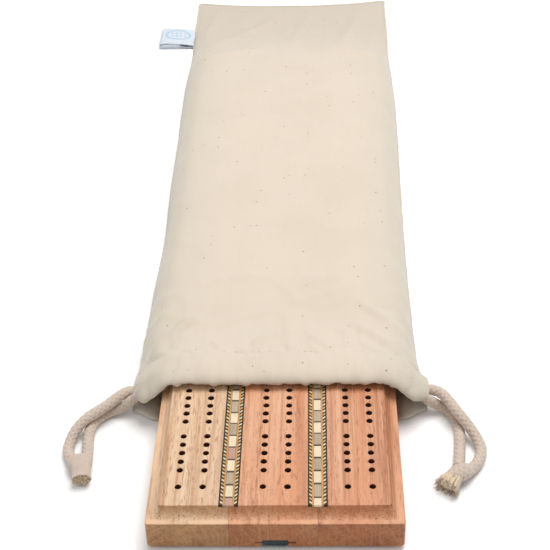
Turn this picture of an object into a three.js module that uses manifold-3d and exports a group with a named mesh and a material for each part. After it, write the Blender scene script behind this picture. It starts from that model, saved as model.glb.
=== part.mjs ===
// Three-track cribbage board lying in its cotton drawstring bag, with its metal pegs
// stored in a covered compartment in the underside.
//
// Frame, in millimetres: +X across the board, +Y along it towards the bag's closed end,
// +Z up. The origin is on the face that the bag rests on, below the middle of the board.

import * as THREE from "three";
import { mergeGeometries, mergeVertices } from "three/addons/utils/BufferGeometryUtils.js";
import Module from "manifold-3d";

// Driving dimensions of the board
const BOARD_LENGTH = 387.35;
const BOARD_WIDTH = 101.6;
const BOARD_HEIGHT = 18;
const COVE_WIDTH = 5.2; // the hollow moulding round the top edge
const COVE_DROP = 5;
const FOOT_CHAMFER = 1;
const GLUE_GAP = 0.1; // between neighbouring pieces that are glued

// Playing holes: three streets of two columns, each column twelve fives and two end holes
const HOLE_DIAMETER = 2.6;
const HOLE_DEPTH = 8;
const HOLE_SIDES = 6;
const HOLE_PITCH = 4.96;
const FIVES_GAP = 9.09; // between the last hole of one five and the first of the next
const END_HOLE_GAP = 9.25;
const FIVES = 12;
const STREET_SPACING = 33.6;
const COLUMN_SPACING = 9.79;

// Inlay bands over the two glue lines
const BAND_CENTRES = { left: -18.1, right: 16.8 };
const BAND_THICKNESS = 1;
const BAND_LAYERS = [
  ["edge_outer", 0.68, "ebony"],
  ["rope_outer", 1.0, "rope"],
  ["gold_outer", 0.55, "gold"],
  ["ladder", 3.17, "maple"],
  ["gold_inner", 0.55, "gold"],
  ["rope_inner", 1.0, "rope"],
  ["edge_inner", 0.68, "ebony"],
];

// Peg compartment, measured from the underside and the front end of the board
const POCKET_WIDTH = 10.6;
const POCKET_HEIGHT = 8.6;
const POCKET_START = 7;
const POCKET_LENGTH = 98;
const NOTCH_HEIGHT = 4;
const KERF_WIDTH = 16.3;
const KERF_LOW = 2.1;
const KERF_HIGH = 3.1;
const COVER_WIDTH = 15.6;
const COVER_THICKNESS = 0.6;
const COVER_LOW = 2.3;
const LIP_WIDTH = 9.8;
const LIP_LOW = 0.6;
const LIP_HIGH = 3.7;
const RUNNING_GAP = 0.3;

// Pegs, three of each finish
const PEG_LENGTH = 26;
const PEG_RADIUS = 1.2;
const PEG_HEAD_RADIUS = 1.6;
const PEG_SPACING = 3.4;
const PEG_ROW_SPACING = 27;

// Bag
const CLOTH = 0.8;
const BAG_HALF_WIDTH = 64.8;
const BAG_END = 320;
const CASING_Y = -111.3; // middle of the drawcord's tunnel
const CASING_DEPTH = 13.2;
const CASING_HEIGHT = 7;
const CASING_WALL = 0.8;
const PANEL_START = CASING_Y + CASING_DEPTH / 2 + 0.4;
const LOWER_CASING_FRONT = -119.5;
const ROPE_DIAMETER = 4.5;
const RUN_OFFSET = 2.6; // each run of cord from the middle of the tunnel
const UNDERSIDE = CLOTH + RUNNING_GAP; // the board's underside above the resting face

const BOARD_FRONT = -BOARD_LENGTH / 2;
const BOARD_BACK = BOARD_LENGTH / 2;
const PLATEAU_LENGTH = BOARD_LENGTH - 2 * COVE_WIDTH;
const BOARD_TOP = UNDERSIDE + BOARD_HEIGHT;

const wasm = await Module();
wasm.setup();

// Materials

const FINISHES = {
  oak_light: { color: 0xd9b184, roughness: 0.6 },
  oak_pink: { color: 0xd79d73, roughness: 0.6 },
  oak_warm: { color: 0xd6955f, roughness: 0.6 },
  ebony: { color: 0x2a2119, roughness: 0.5 },
  rope: { color: 0x8c7a45, roughness: 0.5 },
  gold: { color: 0xc98a45, roughness: 0.5 },
  maple: { color: 0xd9c39c, roughness: 0.5 },
  steel: { color: 0xa9aeb4, roughness: 0.35, metalness: 1 },
  brass: { color: 0xc7a050, roughness: 0.3, metalness: 1 },
  black: { color: 0x1c1c1e, roughness: 0.35, metalness: 0.6 },
  cotton: { color: 0xe2d8c4, roughness: 0.95 },
  cord: { color: 0xddd1bd, roughness: 0.95 },
  label: { color: 0xeef1f4, roughness: 0.8 },
};

function piece(name, geometry, finish) {
  const mesh = new THREE.Mesh(geometry, new THREE.MeshStandardMaterial(FINISHES[finish]));
  mesh.name = name;
  return mesh;
}

// Solids and booleans

function solidFrom(geometry) {
  const bare = geometry.clone();
  bare.deleteAttribute("normal");
  bare.deleteAttribute("uv");
  const merged = mergeVertices(bare, 1e-4);
  return new wasm.Manifold(new wasm.Mesh({
    numProp: 3,
    vertProperties: new Float32Array(merged.attributes.position.array),
    triVerts: new Uint32Array(merged.index.array),
  }));
}

function geometryFrom(solid) {
  const mesh = solid.getMesh();
  const geometry = new THREE.BufferGeometry();
  geometry.setAttribute("position", new THREE.BufferAttribute(mesh.vertProperties, 3));
  geometry.setIndex(new THREE.BufferAttribute(mesh.triVerts, 1));
  geometry.computeVertexNormals();
  return geometry;
}

// A box between two opposite corners
function boxBetween(low, high) {
  const size = high.map((value, axis) => value - low[axis]);
  const centre = high.map((value, axis) => (value + low[axis]) / 2);
  return new THREE.BoxGeometry(...size).translate(...centre);
}

function signedVolume(positions, index) {
  const corner = (i) => new THREE.Vector3(...positions.slice(3 * i, 3 * i + 3));
  let volume = 0;
  for (let i = 0; i < index.length; i += 3) {
    const [a, b, c] = [corner(index[i]), corner(index[i + 1]), corner(index[i + 2])];
    volume += a.dot(b.cross(c)) / 6;
  }
  return volume;
}

// A closed skin through rings of points with the same count. Without flat, the last ring
// joins the first; with it, both ends are capped, and flat(point) gives a ring point's
// place in the plane where the caps are filled.
function loft(rings, flat = null) {
  const count = rings[0].length;
  const positions = rings.flat().flatMap((point) => [point.x, point.y, point.z]);
  const index = [];
  const spans = flat ? rings.length - 1 : rings.length;
  for (let ring = 0; ring < spans; ring += 1) {
    const here = ring * count;
    const there = ((ring + 1) % rings.length) * count;
    for (let i = 0; i < count; i += 1) {
      const next = (i + 1) % count;
      index.push(here + i, here + next, there + next, here + i, there + next, there + i);
    }
  }
  if (flat) {
    const last = (rings.length - 1) * count;
    const outline = rings[0].map(flat);
    const turn = THREE.ShapeUtils.area(outline);
    for (const corners of THREE.ShapeUtils.triangulateShape(outline, [])) {
      const sameTurn = THREE.ShapeUtils.area(corners.map((i) => outline[i])) * turn > 0;
      const [a, b, c] = sameTurn ? corners : [...corners].reverse();
      index.push(c, b, a, last + a, last + b, last + c);
    }
  }
  if (signedVolume(positions, index) < 0) index.reverse();
  const geometry = new THREE.BufferGeometry();
  geometry.setAttribute("position", new THREE.Float32BufferAttribute(positions, 3));
  geometry.setIndex(index);
  geometry.computeVertexNormals();
  return geometry;
}

// Board

// Level rectangles up the board's edge: foot chamfer, upright side, then a hollow quarter
// ellipse that leaves the side level and meets the plateau upright.
function boardBlank() {
  const coveSteps = 5;
  const levels = [[FOOT_CHAMFER, 0], [0, FOOT_CHAMFER]];
  for (let step = 0; step <= coveSteps; step += 1) {
    const angle = (Math.PI / 2) * (step / coveSteps);
    levels.push([COVE_WIDTH * Math.sin(angle), BOARD_HEIGHT - COVE_DROP * Math.cos(angle)]);
  }
  const rings = levels.map(([inset, height]) => {
    const x = BOARD_WIDTH / 2 - inset;
    const y = BOARD_LENGTH / 2 - inset;
    const corners = [[-x, -y], [x, -y], [x, y], [-x, y]];
    return corners.map(([cx, cy]) => new THREE.Vector3(cx, cy, UNDERSIDE + height));
  });
  return solidFrom(loft(rings, (point) => new THREE.Vector2(point.x, point.y)));
}

function columnHoleCentres() {
  const fiveLength = 4 * HOLE_PITCH;
  const length = 2 * END_HOLE_GAP + FIVES * fiveLength + (FIVES - 1) * FIVES_GAP;
  const centres = [-length / 2, length / 2];
  for (let five = 0; five < FIVES; five += 1) {
    const start = -length / 2 + END_HOLE_GAP + five * (fiveLength + FIVES_GAP);
    for (let hole = 0; hole < 5; hole += 1) centres.push(start + hole * HOLE_PITCH);
  }
  return centres;
}

// The two columns of blind holes of the street whose middle is at x = centre
function streetHoles(centre) {
  const overshoot = 1;
  const drill = new THREE.CylinderGeometry(
    HOLE_DIAMETER / 2, HOLE_DIAMETER / 2, HOLE_DEPTH + overshoot, HOLE_SIDES,
  ).rotateX(Math.PI / 2);
  const z = BOARD_TOP - HOLE_DEPTH + (HOLE_DEPTH + overshoot) / 2;
  const drills = [-1, 1].flatMap((side) => columnHoleCentres().map(
    (y) => drill.clone().translate(centre + side * COLUMN_SPACING / 2, y, z),
  ));
  return solidFrom(mergeGeometries(drills));
}

function bandWidth() {
  return BAND_LAYERS.reduce((total, layer) => total + layer[1], 0);
}

function bandGroove(centre) {
  const half = bandWidth() / 2 + GLUE_GAP;
  const depth = BAND_THICKNESS + GLUE_GAP;
  const reach = BOARD_LENGTH;
  return solidFrom(boxBetween(
    [centre - half, -reach, BOARD_TOP - depth], [centre + half, reach, BOARD_TOP + depth],
  ));
}

// Pocket for the pegs, its low doorway in the front end, and the saw kerfs for the cover
function compartmentCut() {
  const outside = BOARD_FRONT - 5;
  const pocketFront = BOARD_FRONT + POCKET_START;
  const pocketBack = pocketFront + POCKET_LENGTH;
  const low = UNDERSIDE - 5;
  const pocket = boxBetween(
    [-POCKET_WIDTH / 2, pocketFront, low],
    [POCKET_WIDTH / 2, pocketBack, UNDERSIDE + POCKET_HEIGHT],
  );
  const doorway = boxBetween(
    [-POCKET_WIDTH / 2, outside, low],
    [POCKET_WIDTH / 2, pocketFront + 1, UNDERSIDE + NOTCH_HEIGHT],
  );
  const kerfs = boxBetween(
    [-KERF_WIDTH / 2, outside, UNDERSIDE + KERF_LOW],
    [KERF_WIDTH / 2, pocketBack, UNDERSIDE + KERF_HIGH],
  );
  return solidFrom(pocket).add(solidFrom(doorway)).add(solidFrom(kerfs));
}

// Three staves, glued edge to edge under the bands
function makeStaves() {
  const blank = boardBlank();
  const joints = [-BOARD_WIDTH, BAND_CENTRES.left, BAND_CENTRES.right, BOARD_WIDTH];
  const staves = [
    ["stave_left", "oak_light"], ["stave_centre", "oak_pink"], ["stave_right", "oak_warm"],
  ];
  return staves.map(([name, finish], i) => {
    const slab = boxBetween(
      [joints[i] + GLUE_GAP / 2, -BOARD_LENGTH, -BOARD_HEIGHT],
      [joints[i + 1] - GLUE_GAP / 2, BOARD_LENGTH, 2 * BOARD_HEIGHT],
    );
    let solid = blank.intersect(solidFrom(slab)).subtract(streetHoles((i - 1) * STREET_SPACING));
    for (const centre of Object.values(BAND_CENTRES)) {
      solid = solid.subtract(bandGroove(centre));
    }
    if (name === "stave_centre") solid = solid.subtract(compartmentCut());
    return piece(name, geometryFrom(solid), finish);
  });
}

// Veneer strips of one band, side by side in the groove; outer is towards the board's edge
function makeBand(side) {
  const centre = BAND_CENTRES[side];
  const outward = side === "left" ? -1 : 1;
  let across = bandWidth() / 2;
  return BAND_LAYERS.map(([layer, width, finish]) => {
    const edges = [centre + outward * across, centre + outward * (across - width)];
    across -= width;
    const geometry = boxBetween(
      [Math.min(...edges) + GLUE_GAP / 4, -PLATEAU_LENGTH / 2, BOARD_TOP - BAND_THICKNESS],
      [Math.max(...edges) - GLUE_GAP / 4, PLATEAU_LENGTH / 2, BOARD_TOP],
    );
    return piece(`band_${side}_${layer}`, geometry, finish);
  });
}

// Sheet-steel cover with its end folded down as a pull
function makeCover() {
  const front = BOARD_FRONT + RUNNING_GAP;
  const back = BOARD_FRONT + POCKET_START + POCKET_LENGTH - RUNNING_GAP;
  const low = UNDERSIDE + COVER_LOW;
  const plate = boxBetween(
    [-COVER_WIDTH / 2, front, low], [COVER_WIDTH / 2, back, low + COVER_THICKNESS],
  );
  const lip = boxBetween(
    [-LIP_WIDTH / 2, front, UNDERSIDE + LIP_LOW],
    [LIP_WIDTH / 2, front + COVER_THICKNESS, UNDERSIDE + LIP_HIGH],
  );
  return piece("compartment_cover", geometryFrom(solidFrom(plate).add(solidFrom(lip))), "steel");
}

// Turned pegs lying in three rows on the cover, each row one finish
function makePegs() {
  const outline = [
    [0, 0], [0.7, 0], [PEG_RADIUS, 1.5], [PEG_RADIUS, 20.5], [PEG_HEAD_RADIUS, 21.6],
    [PEG_HEAD_RADIUS, 25], [1, PEG_LENGTH], [0, PEG_LENGTH],
  ].map(([radius, along]) => new THREE.Vector2(radius, along));
  const peg = new THREE.LatheGeometry(outline, 8);
  const z = UNDERSIDE + COVER_LOW + COVER_THICKNESS + RUNNING_GAP + PEG_HEAD_RADIUS;
  return ["steel", "brass", "black"].flatMap((finish, row) => [-1, 0, 1].map((place) => {
    const mesh = piece(`peg_${finish}_${place + 2}`, peg.clone(), finish);
    mesh.position.set(
      place * PEG_SPACING, BOARD_FRONT + POCKET_START + 0.5 + row * PEG_ROW_SPACING, z,
    );
    return mesh;
  }));
}

// Bag

// Height of the upper cloth's outside: over the board, then falling to the table behind it
function clothHeight(y) {
  const overBoard = BOARD_TOP + RUNNING_GAP + CLOTH;
  const flat = UNDERSIDE + CLOTH + 0.4;
  return flat + (overBoard - flat) * (1 - THREE.MathUtils.smoothstep(y, 192, 262));
}

// Half of the cloth's arch across the bag, as shares of its half width and of its height
const ARCH = [[1, 0], [0.985, 0.27], [0.94, 0.62], [0.87, 0.88], [0.79, 0.985], [0.6, 1], [0.3, 1]];

function archPoints(halfWidth, height, y) {
  const foot = UNDERSIDE;
  const half = ARCH.map(([across, up]) => [across * halfWidth, foot + up * (height - foot)]);
  const left = half.map(([x, z]) => new THREE.Vector3(-x, y, z));
  const right = half.map(([x, z]) => new THREE.Vector3(x, y, z)).reverse();
  return [...left, ...right];
}

function makeUpperPanel() {
  const fallSteps = 8;
  const stations = [PANEL_START, 0, 190];
  for (let step = 1; step <= fallSteps; step += 1) stations.push(190 + 72 * (step / fallSteps));
  stations.push(BAG_END);
  const rings = stations.map((y) => {
    const height = clothHeight(y);
    const outside = archPoints(BAG_HALF_WIDTH, height, y);
    const inside = archPoints(BAG_HALF_WIDTH - 1.2 * CLOTH, height - CLOTH, y).reverse();
    return [...outside, ...inside];
  });
  return piece(
    "bag_upper_panel", loft(rings, (point) => new THREE.Vector2(point.x, point.z)), "cotton",
  );
}

function makeLowerPanel() {
  const geometry = boxBetween(
    [-BAG_HALF_WIDTH, PANEL_START, 0], [BAG_HALF_WIDTH, BAG_END, CLOTH],
  );
  return piece("bag_lower_panel", geometry, "cotton");
}

// Flat under the board, rolled where it comes out on each side
function makeLowerCasing() {
  const back = PANEL_START - RUNNING_GAP;
  const half = [[52, CLOTH, 0], [54, 3.2, 0.5], [60, 3.6, 3], [65.5, 2.4, 6]];
  const stations = [...half.map(([x, ...rest]) => [-x, ...rest]).reverse(), ...half];
  const rings = stations.map(([x, height, drawnBack]) => {
    const front = LOWER_CASING_FRONT + drawnBack;
    const middle = (front + back) / 2;
    const outline = [
      [front + 0.5, 0], [back, 0], [back, height * 0.8], [middle, height], [front, height * 0.5],
    ];
    return outline.map(([y, z]) => new THREE.Vector3(x, y, z));
  });
  return piece(
    "bag_lower_casing", loft(rings, (point) => new THREE.Vector2(point.y, point.z)), "cotton",
  );
}

// Middle line of the upper casing, arching over the board and drooping beside it
const casingPath = new THREE.CatmullRomCurve3([
  [-63.7, 9], [-60.2, 12.4], [-56.2, 17.2], [-51.5, 21.4], [-45, 23.1], [-30, 23.1], [0, 23.1],
  [30, 23.1], [45, 23.1], [51.5, 21.4], [56.2, 17.2], [60.2, 12.4], [63.7, 9],
].map(([x, z]) => new THREE.Vector3(x, CASING_Y, z)));

// One station's ring of a flat-sided tube with round edges
function casingRing(share, radius) {
  const arcSteps = 5;
  const middle = casingPath.getPoint(share);
  const along = casingPath.getTangent(share);
  const up = new THREE.Vector3(-along.z, 0, along.x);
  const edgeCentre = CASING_DEPTH / 2 - CASING_HEIGHT / 2;
  const ring = [];
  for (const side of [1, -1]) {
    for (let step = 0; step <= arcSteps; step += 1) {
      const angle = (-Math.PI / 2 + Math.PI * (step / arcSteps)) * side;
      const y = side * (edgeCentre + radius * Math.cos(angle));
      ring.push(middle.clone().add(new THREE.Vector3(0, y, 0))
        .addScaledVector(up, radius * Math.sin(angle)));
    }
  }
  return ring;
}

function makeUpperCasing() {
  const steps = 20;
  const shares = Array.from({ length: steps + 1 }, (_, step) => step / steps);
  const outside = shares.map((share) => casingRing(share, CASING_HEIGHT / 2));
  const inside = shares.map((share) => casingRing(share, CASING_HEIGHT / 2 - CASING_WALL));
  return piece("bag_upper_casing", loft([...outside, ...inside.reverse()]), "cotton");
}

function ropeAlong(points, steps) {
  const sides = 8;
  const section = new THREE.Shape();
  for (let side = 0; side < sides; side += 1) {
    const angle = (2 * Math.PI * side) / sides;
    const [x, y] = [Math.cos(angle), Math.sin(angle)].map((value) => value * ROPE_DIAMETER / 2);
    if (side === 0) section.moveTo(x, y);
    else section.lineTo(x, y);
  }
  section.closePath();
  const path = new THREE.CatmullRomCurve3(points.map((point) => new THREE.Vector3(...point)));
  return new THREE.ExtrudeGeometry(section, { steps, extrudePath: path, curveSegments: 1 });
}

// The two lengths of drawcord that lie side by side inside the upper casing; they stop
// just inside its ends, where the free strands take over.
function makeCasingRuns() {
  const runs = { drawcord_run_front: -RUN_OFFSET, drawcord_run_back: RUN_OFFSET };
  const stations = 16;
  const endShare = 0.025;
  return Object.entries(runs).map(([name, offset]) => {
    const points = Array.from({ length: stations + 1 }, (_, step) => {
      const point = casingPath.getPoint(endShare + (1 - 2 * endShare) * (step / stations));
      return [point.x, point.y + offset, point.z];
    });
    return piece(name, ropeAlong(points, 24), "cord");
  });
}

// Free strands, from the casing's ends down to the table and on to their knots. On each
// side the strand named over crosses the one named under.
const STRANDS = {
  drawcord_left_over: [
    [-64.8, -108.7, 8.7], [-67.4, -109.5, 9.1], [-70.8, -112.4, 9], [-74.6, -116.4, 8.4],
    [-79, -120.3, 7.6], [-83.6, -124.4, 6.9], [-87.5, -129, 5], [-89.6, -134, 3.1],
    [-90, -139, 2.4], [-88.6, -144, 2.5], [-86.2, -148.5, 2.9],
  ],
  drawcord_left_under: [
    [-64.7, -113.9, 8.2], [-66.8, -114.1, 6.2], [-70, -114.1, 3.8], [-74, -115, 2.6],
    [-78, -117.6, 2.4], [-81.1, -121.9, 2.4], [-82.3, -127.3, 2.4], [-82.2, -133.3, 2.4],
    [-81.6, -139.5, 2.4], [-81, -145.7, 2.6], [-80.9, -149, 2.8],
  ],
  drawcord_right_over: [
    [64.8, -108.7, 8.7], [67.6, -109.2, 9.2], [70.6, -110.9, 9.2], [72.8, -113.6, 9],
    [74.8, -117.2, 8.6], [77, -121.8, 8.1], [79.6, -126.2, 7.2], [82.4, -130.5, 5.6],
    [84.8, -134.6, 3.7], [86, -138.8, 2.6], [85.6, -143, 2.4], [83.4, -148.6, 2.6],
    [79.6, -153.6, 3],
  ],
  drawcord_right_under: [
    [64.7, -113.9, 8.2], [67, -113.6, 6.1], [70, -113.2, 3.9], [73, -114.2, 2.7],
    [75.7, -117.3, 2.4], [77.3, -121.7, 2.4], [77.9, -126.5, 2.4], [77.9, -131.5, 2.4],
    [77.2, -138.7, 2.4], [76.3, -146, 2.6], [75.4, -151, 2.9],
  ],
};

function makeStrands() {
  return Object.entries(STRANDS).map(([name, points]) => piece(name, ropeAlong(points, 16), "cord"));
}

function makeKnots() {
  const places = { left: [-81.9, -156.6, 4.4], right: [73.2, -159.2, 4.4] };
  return Object.entries(places).map(([side, place]) => {
    const geometry = new THREE.SphereGeometry(1, 10, 7).scale(5.8, 6.6, 4.2);
    const mesh = piece(`drawcord_${side}_knot`, geometry, "cord");
    mesh.position.set(...place);
    return mesh;
  });
}

// Ribbon folded into a loop, its two ends held by the left side seam
function makeLabel() {
  const outline = [
    [-65.1, 0.9], [-86, 0.3], [-88, 1.2], [-88.2, 3.2], [-86.6, 4.6], [-65.1, 2.6],
    [-65.1, 2.1], [-86.3, 4.1], [-87.6, 3], [-87.5, 1.4], [-85.8, 0.8], [-65.1, 1.4],
  ];
  const rings = [252, 274].map((y) => outline.map(([x, z]) => new THREE.Vector3(x, y, z)));
  return piece("bag_label", loft(rings, (point) => new THREE.Vector2(point.x, point.z)), "label");
}

const board = new THREE.Group();
board.add(...makeStaves(), ...makeBand("left"), ...makeBand("right"), makeCover(), ...makePegs());

const bag = new THREE.Group();
bag.add(makeUpperPanel(), makeLowerPanel(), makeUpperCasing(), makeLowerCasing());
bag.add(...makeCasingRuns(), ...makeStrands(), ...makeKnots(), makeLabel());

const model = new THREE.Group();
model.add(board, bag);

export default model;
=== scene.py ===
# Three-track cribbage board in its cotton drawstring bag: the finished look, built round
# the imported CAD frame. Lengths in the tables are millimetres; objects are in metres.

import random
from math import copysign, cos, exp, pi, radians, sin, sqrt, tau

import bmesh
import bpy
from mathutils import Matrix, Vector, noise


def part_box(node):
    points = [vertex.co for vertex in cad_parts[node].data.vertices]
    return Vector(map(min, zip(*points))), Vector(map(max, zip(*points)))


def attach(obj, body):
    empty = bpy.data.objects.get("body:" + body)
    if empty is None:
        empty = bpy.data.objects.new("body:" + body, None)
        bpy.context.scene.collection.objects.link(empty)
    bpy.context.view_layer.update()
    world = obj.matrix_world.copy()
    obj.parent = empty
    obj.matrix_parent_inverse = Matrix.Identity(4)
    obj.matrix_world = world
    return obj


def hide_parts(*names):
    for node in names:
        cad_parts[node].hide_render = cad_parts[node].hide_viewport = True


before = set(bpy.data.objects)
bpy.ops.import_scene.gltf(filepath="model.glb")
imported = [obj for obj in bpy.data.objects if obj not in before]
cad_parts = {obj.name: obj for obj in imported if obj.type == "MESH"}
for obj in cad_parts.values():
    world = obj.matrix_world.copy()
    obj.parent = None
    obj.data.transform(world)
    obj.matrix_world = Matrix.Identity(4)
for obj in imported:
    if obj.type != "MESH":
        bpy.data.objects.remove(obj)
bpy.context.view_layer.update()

MM = 0.001
X_AXIS, Y_AXIS, Z_AXIS = (Vector(axis) for axis in ((1, 0, 0), (0, 1, 0), (0, 0, 1)))
scene = bpy.context.scene


# ---------------------------------------------------------------- small helpers

def clamp(value, low=0.0, high=1.0):
    return max(low, min(high, value))


def smoothstep(value, low, high):
    share = clamp((value - low) / (high - low))
    return share * share * (3 - 2 * share)


def fall(value, low, high):
    """1 up to low, then sinking smoothly to 0 at high."""
    return 1 - smoothstep(value, low, high)


def bell(value):
    return exp(-value * value)


def lerp(a, b, share):
    return a + (b - a) * share


def perlin(x, y, z=0.0):
    return noise.noise(Vector((x, y, z)))


def metres(point):
    return tuple(c * MM for c in point)


def box_mm(node):
    """A CAD node's lowest and highest corners at rest, in millimetres."""
    return [[c / MM for c in corner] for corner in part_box(node)]


def link(name, data):
    obj = bpy.data.objects.new(name, data)
    scene.collection.objects.link(obj)
    return obj


def place(piece, body, slot, *nodes):
    """Puts a piece on its body, hiding the CAD nodes it stands for; the slot is not used."""
    if nodes:
        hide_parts(*nodes)
    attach(piece, body)


def smooth(mesh, sharp):
    """Smooth shading, with a hard edge where faces meet at more than sharp degrees."""
    mesh.polygons.foreach_set("use_smooth", [True] * len(mesh.polygons))
    if sharp is not None:
        mesh.set_sharp_from_angle(angle=radians(sharp))


def mesh_piece(name, points, faces, materials, slots=None, sharp=35.0, uvs=None, relief=None):
    """points and uvs in millimetres; uvs and relief hold one value per point."""
    mesh = bpy.data.meshes.new(name)
    mesh.from_pydata([metres(p) for p in points], [], faces)
    for material in materials:
        mesh.materials.append(material)
    if slots is not None:
        mesh.polygons.foreach_set("material_index", slots)
    if uvs is not None:
        layer = mesh.uv_layers.new(name="UVMap")
        flat = [c * MM for loop in mesh.loops for c in uvs[loop.vertex_index]]
        layer.data.foreach_set("uv", flat)
    if relief is not None:
        mesh.attributes.new("relief", "FLOAT", "POINT").data.foreach_set("value", relief)
    mesh.update()
    smooth(mesh, sharp)
    return link(name, mesh)


def outward(obj):
    """Turns a closed mesh's faces to point out."""
    work = bmesh.new()
    work.from_mesh(obj.data)
    bmesh.ops.recalc_face_normals(work, faces=work.faces)
    work.to_mesh(obj.data)
    work.free()
    return obj


def apply_modifiers(obj):
    depsgraph = bpy.context.evaluated_depsgraph_get()
    mesh = bpy.data.meshes.new_from_object(obj.evaluated_get(depsgraph))
    obj.modifiers.clear()
    obj.data = mesh


def run_lengths(points):
    """How far along a polyline each of its points lies."""
    lengths = [0.0]
    for a, b in zip(points, points[1:]):
        lengths.append(lengths[-1] + (b - a).length)
    return lengths


def resample(points, count):
    """count points at even steps of length along a polyline."""
    lengths = run_lengths(points)
    result, i = [], 0
    for step in range(count):
        target = lengths[-1] * step / (count - 1)
        while i < len(points) - 2 and lengths[i + 1] < target:
            i += 1
        span = max(lengths[i + 1] - lengths[i], 1e-9)
        result.append(points[i].lerp(points[i + 1], clamp((target - lengths[i]) / span)))
    return result


def spline(points, steps=12):
    """A smooth line through the points, as a dense polyline."""
    points = [Vector(p) for p in points]
    padded = [2 * points[0] - points[1], *points, 2 * points[-1] - points[-2]]
    line = []
    for p0, p1, p2, p3 in zip(padded, padded[1:], padded[2:], padded[3:]):
        for step in range(steps):
            t = step / steps
            line.append(0.5 * ((2 * p1) + (p2 - p0) * t + (2 * p0 - 5 * p1 + 4 * p2 - p3) * t * t
                               + (3 * p1 - p0 - 3 * p2 + p3) * t ** 3))
    return line + [points[-1]]


def directions(points):
    """The way a polyline runs at each of its points."""
    ends = zip(points[:1] + points[:-1], points[1:] + points[-1:])
    return [(after - before).normalized() for before, after in ends]


def line_normals(line, square):
    """Normals along a flat line; square is the direction square to its plane."""
    return [square.cross(along) for along in directions(line)]


def path_frames(points):
    """(side, up) at each point of a path, turning as little as possible."""
    frames, side = [], None
    for tangent in directions(points):
        if side is None:
            side = tangent.cross(Z_AXIS)
            if side.length < 1e-3:
                side = tangent.cross(Y_AXIS)
        side = (side - tangent * side.dot(tangent)).normalized()
        frames.append((side, side.cross(tangent).normalized()))
    return frames


def grid_faces(rows, columns, closed=False):
    """Faces between rows of points; closed joins each row's last point to its first."""
    faces = []
    for r in range(0, (rows - 1) * columns, columns):
        for c in range(columns if closed else columns - 1):
            c2 = (c + 1) % columns
            faces.append((r + c, r + c2, r + columns + c2, r + columns + c))
    return faces


def tube_faces(rows, columns):
    """Faces of a tube of rings, closed by one face at each end."""
    last = (rows - 1) * columns
    ends = [tuple(reversed(range(columns))), tuple(range(last, last + columns))]
    return grid_faces(rows, columns, closed=True) + ends


def sweep(points, ring, sides, close_ends=True):
    """Points and faces of a tube. ring(i, angle) gives (sideways, upwards) offsets."""
    verts = []
    for i, (point, (side, up)) in enumerate(zip(points, path_frames(points))):
        for k in range(sides):
            across, rise = ring(i, tau * k / sides)
            verts.append(point + side * across + up * rise)
    faces = grid_faces(len(points), sides, closed=True)
    if close_ends:
        for end in (0, len(points) - 1):
            centre = len(verts)
            verts.append(points[end].copy())
            for k in range(sides):
                a, b = end * sides + k, end * sides + (k + 1) % sides
                faces.append((centre, a, b) if end else (centre, b, a))
    return verts, faces


def turned(profile, place_at, sides):
    """A turned solid: (radius, along) pairs from axis to axis, set out by place_at."""
    points = [place_at(*profile[0], 0.0)]
    points += [place_at(*pair, tau * k / sides) for pair in profile[1:-1] for k in range(sides)]
    top = len(points)
    points.append(place_at(*profile[-1], 0.0))
    faces = [tuple(i + 1 for i in f) for f in grid_faces(len(profile) - 2, sides, closed=True)]
    for k in range(sides):
        k2 = (k + 1) % sides
        faces += [(0, 1 + k, 1 + k2), (top, top - sides + k2, top - sides + k)]
    return points, faces


def quarter_arcs(centres, radius, steps):
    """Quarter circles as (x, y, normal's x, y); each centre comes with its first angle."""
    arcs = []
    for x, y, first in centres:
        turns = [radians(first + 90 * step / steps) for step in range(steps + 1)]
        arcs.append([(x + radius * cos(a), y + radius * sin(a), cos(a), sin(a)) for a in turns])
    return arcs


class Parts:
    """Collects several islands of points and faces for one mesh."""

    def __init__(self):
        self.points, self.faces, self.slots = [], [], []

    def add(self, points, faces, slot=0):
        start = len(self.points)
        self.points += [Vector(p) for p in points]
        self.faces += [tuple(start + i for i in face) for face in faces]
        self.slots += [slot] * len(faces)
        return self

    def piece(self, name, materials, **options):
        return outward(mesh_piece(name, self.points, self.faces, materials, self.slots, **options))


def eased_box(low, high, ease):
    """A box with its edges eased all round by a small chamfer."""
    points = []
    for inset, z in ((ease, low[2]), (0, low[2] + ease), (0, high[2] - ease), (ease, high[2])):
        x0, x1, y0, y1 = low[0] + inset, high[0] - inset, low[1] + inset, high[1] - inset
        points += [(x0, y0, z), (x1, y0, z), (x1, y1, z), (x0, y1, z)]
    return points, tube_faces(4, 4)


def eased_prism(outline, z0, z1, ease):
    """A convex outline in plan, stood up between two heights, with its top edges eased."""
    centre = Vector((sum(p[0] for p in outline), sum(p[1] for p in outline))) / len(outline)

    def level(inset, z):
        rays = [Vector(p) - centre for p in outline]
        return [(*(centre + v * (1 - inset / max(v.length, 1e-6))), z) for v in rays]

    return level(0, z0) + level(0, z1 - ease) + level(ease, z1), tube_faces(3, len(outline))


# ---------------------------------------------------------------- materials

LIGHT_LEVEL = 1.27  # how bright the studio makes a level white surface


def seen(*screen):
    """The surface colour that looks like this screen colour under the studio light."""
    def linear(c):
        c /= 255
        return c / 12.92 if c <= 0.04045 else ((c + 0.055) / 1.055) ** 2.4
    return tuple(min(linear(c) / LIGHT_LEVEL, 0.95) for c in screen) + (1.0,)


def times(colour, *factors):
    return tuple(c * f for c, f in zip(colour, factors)) + (1.0,)


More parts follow.
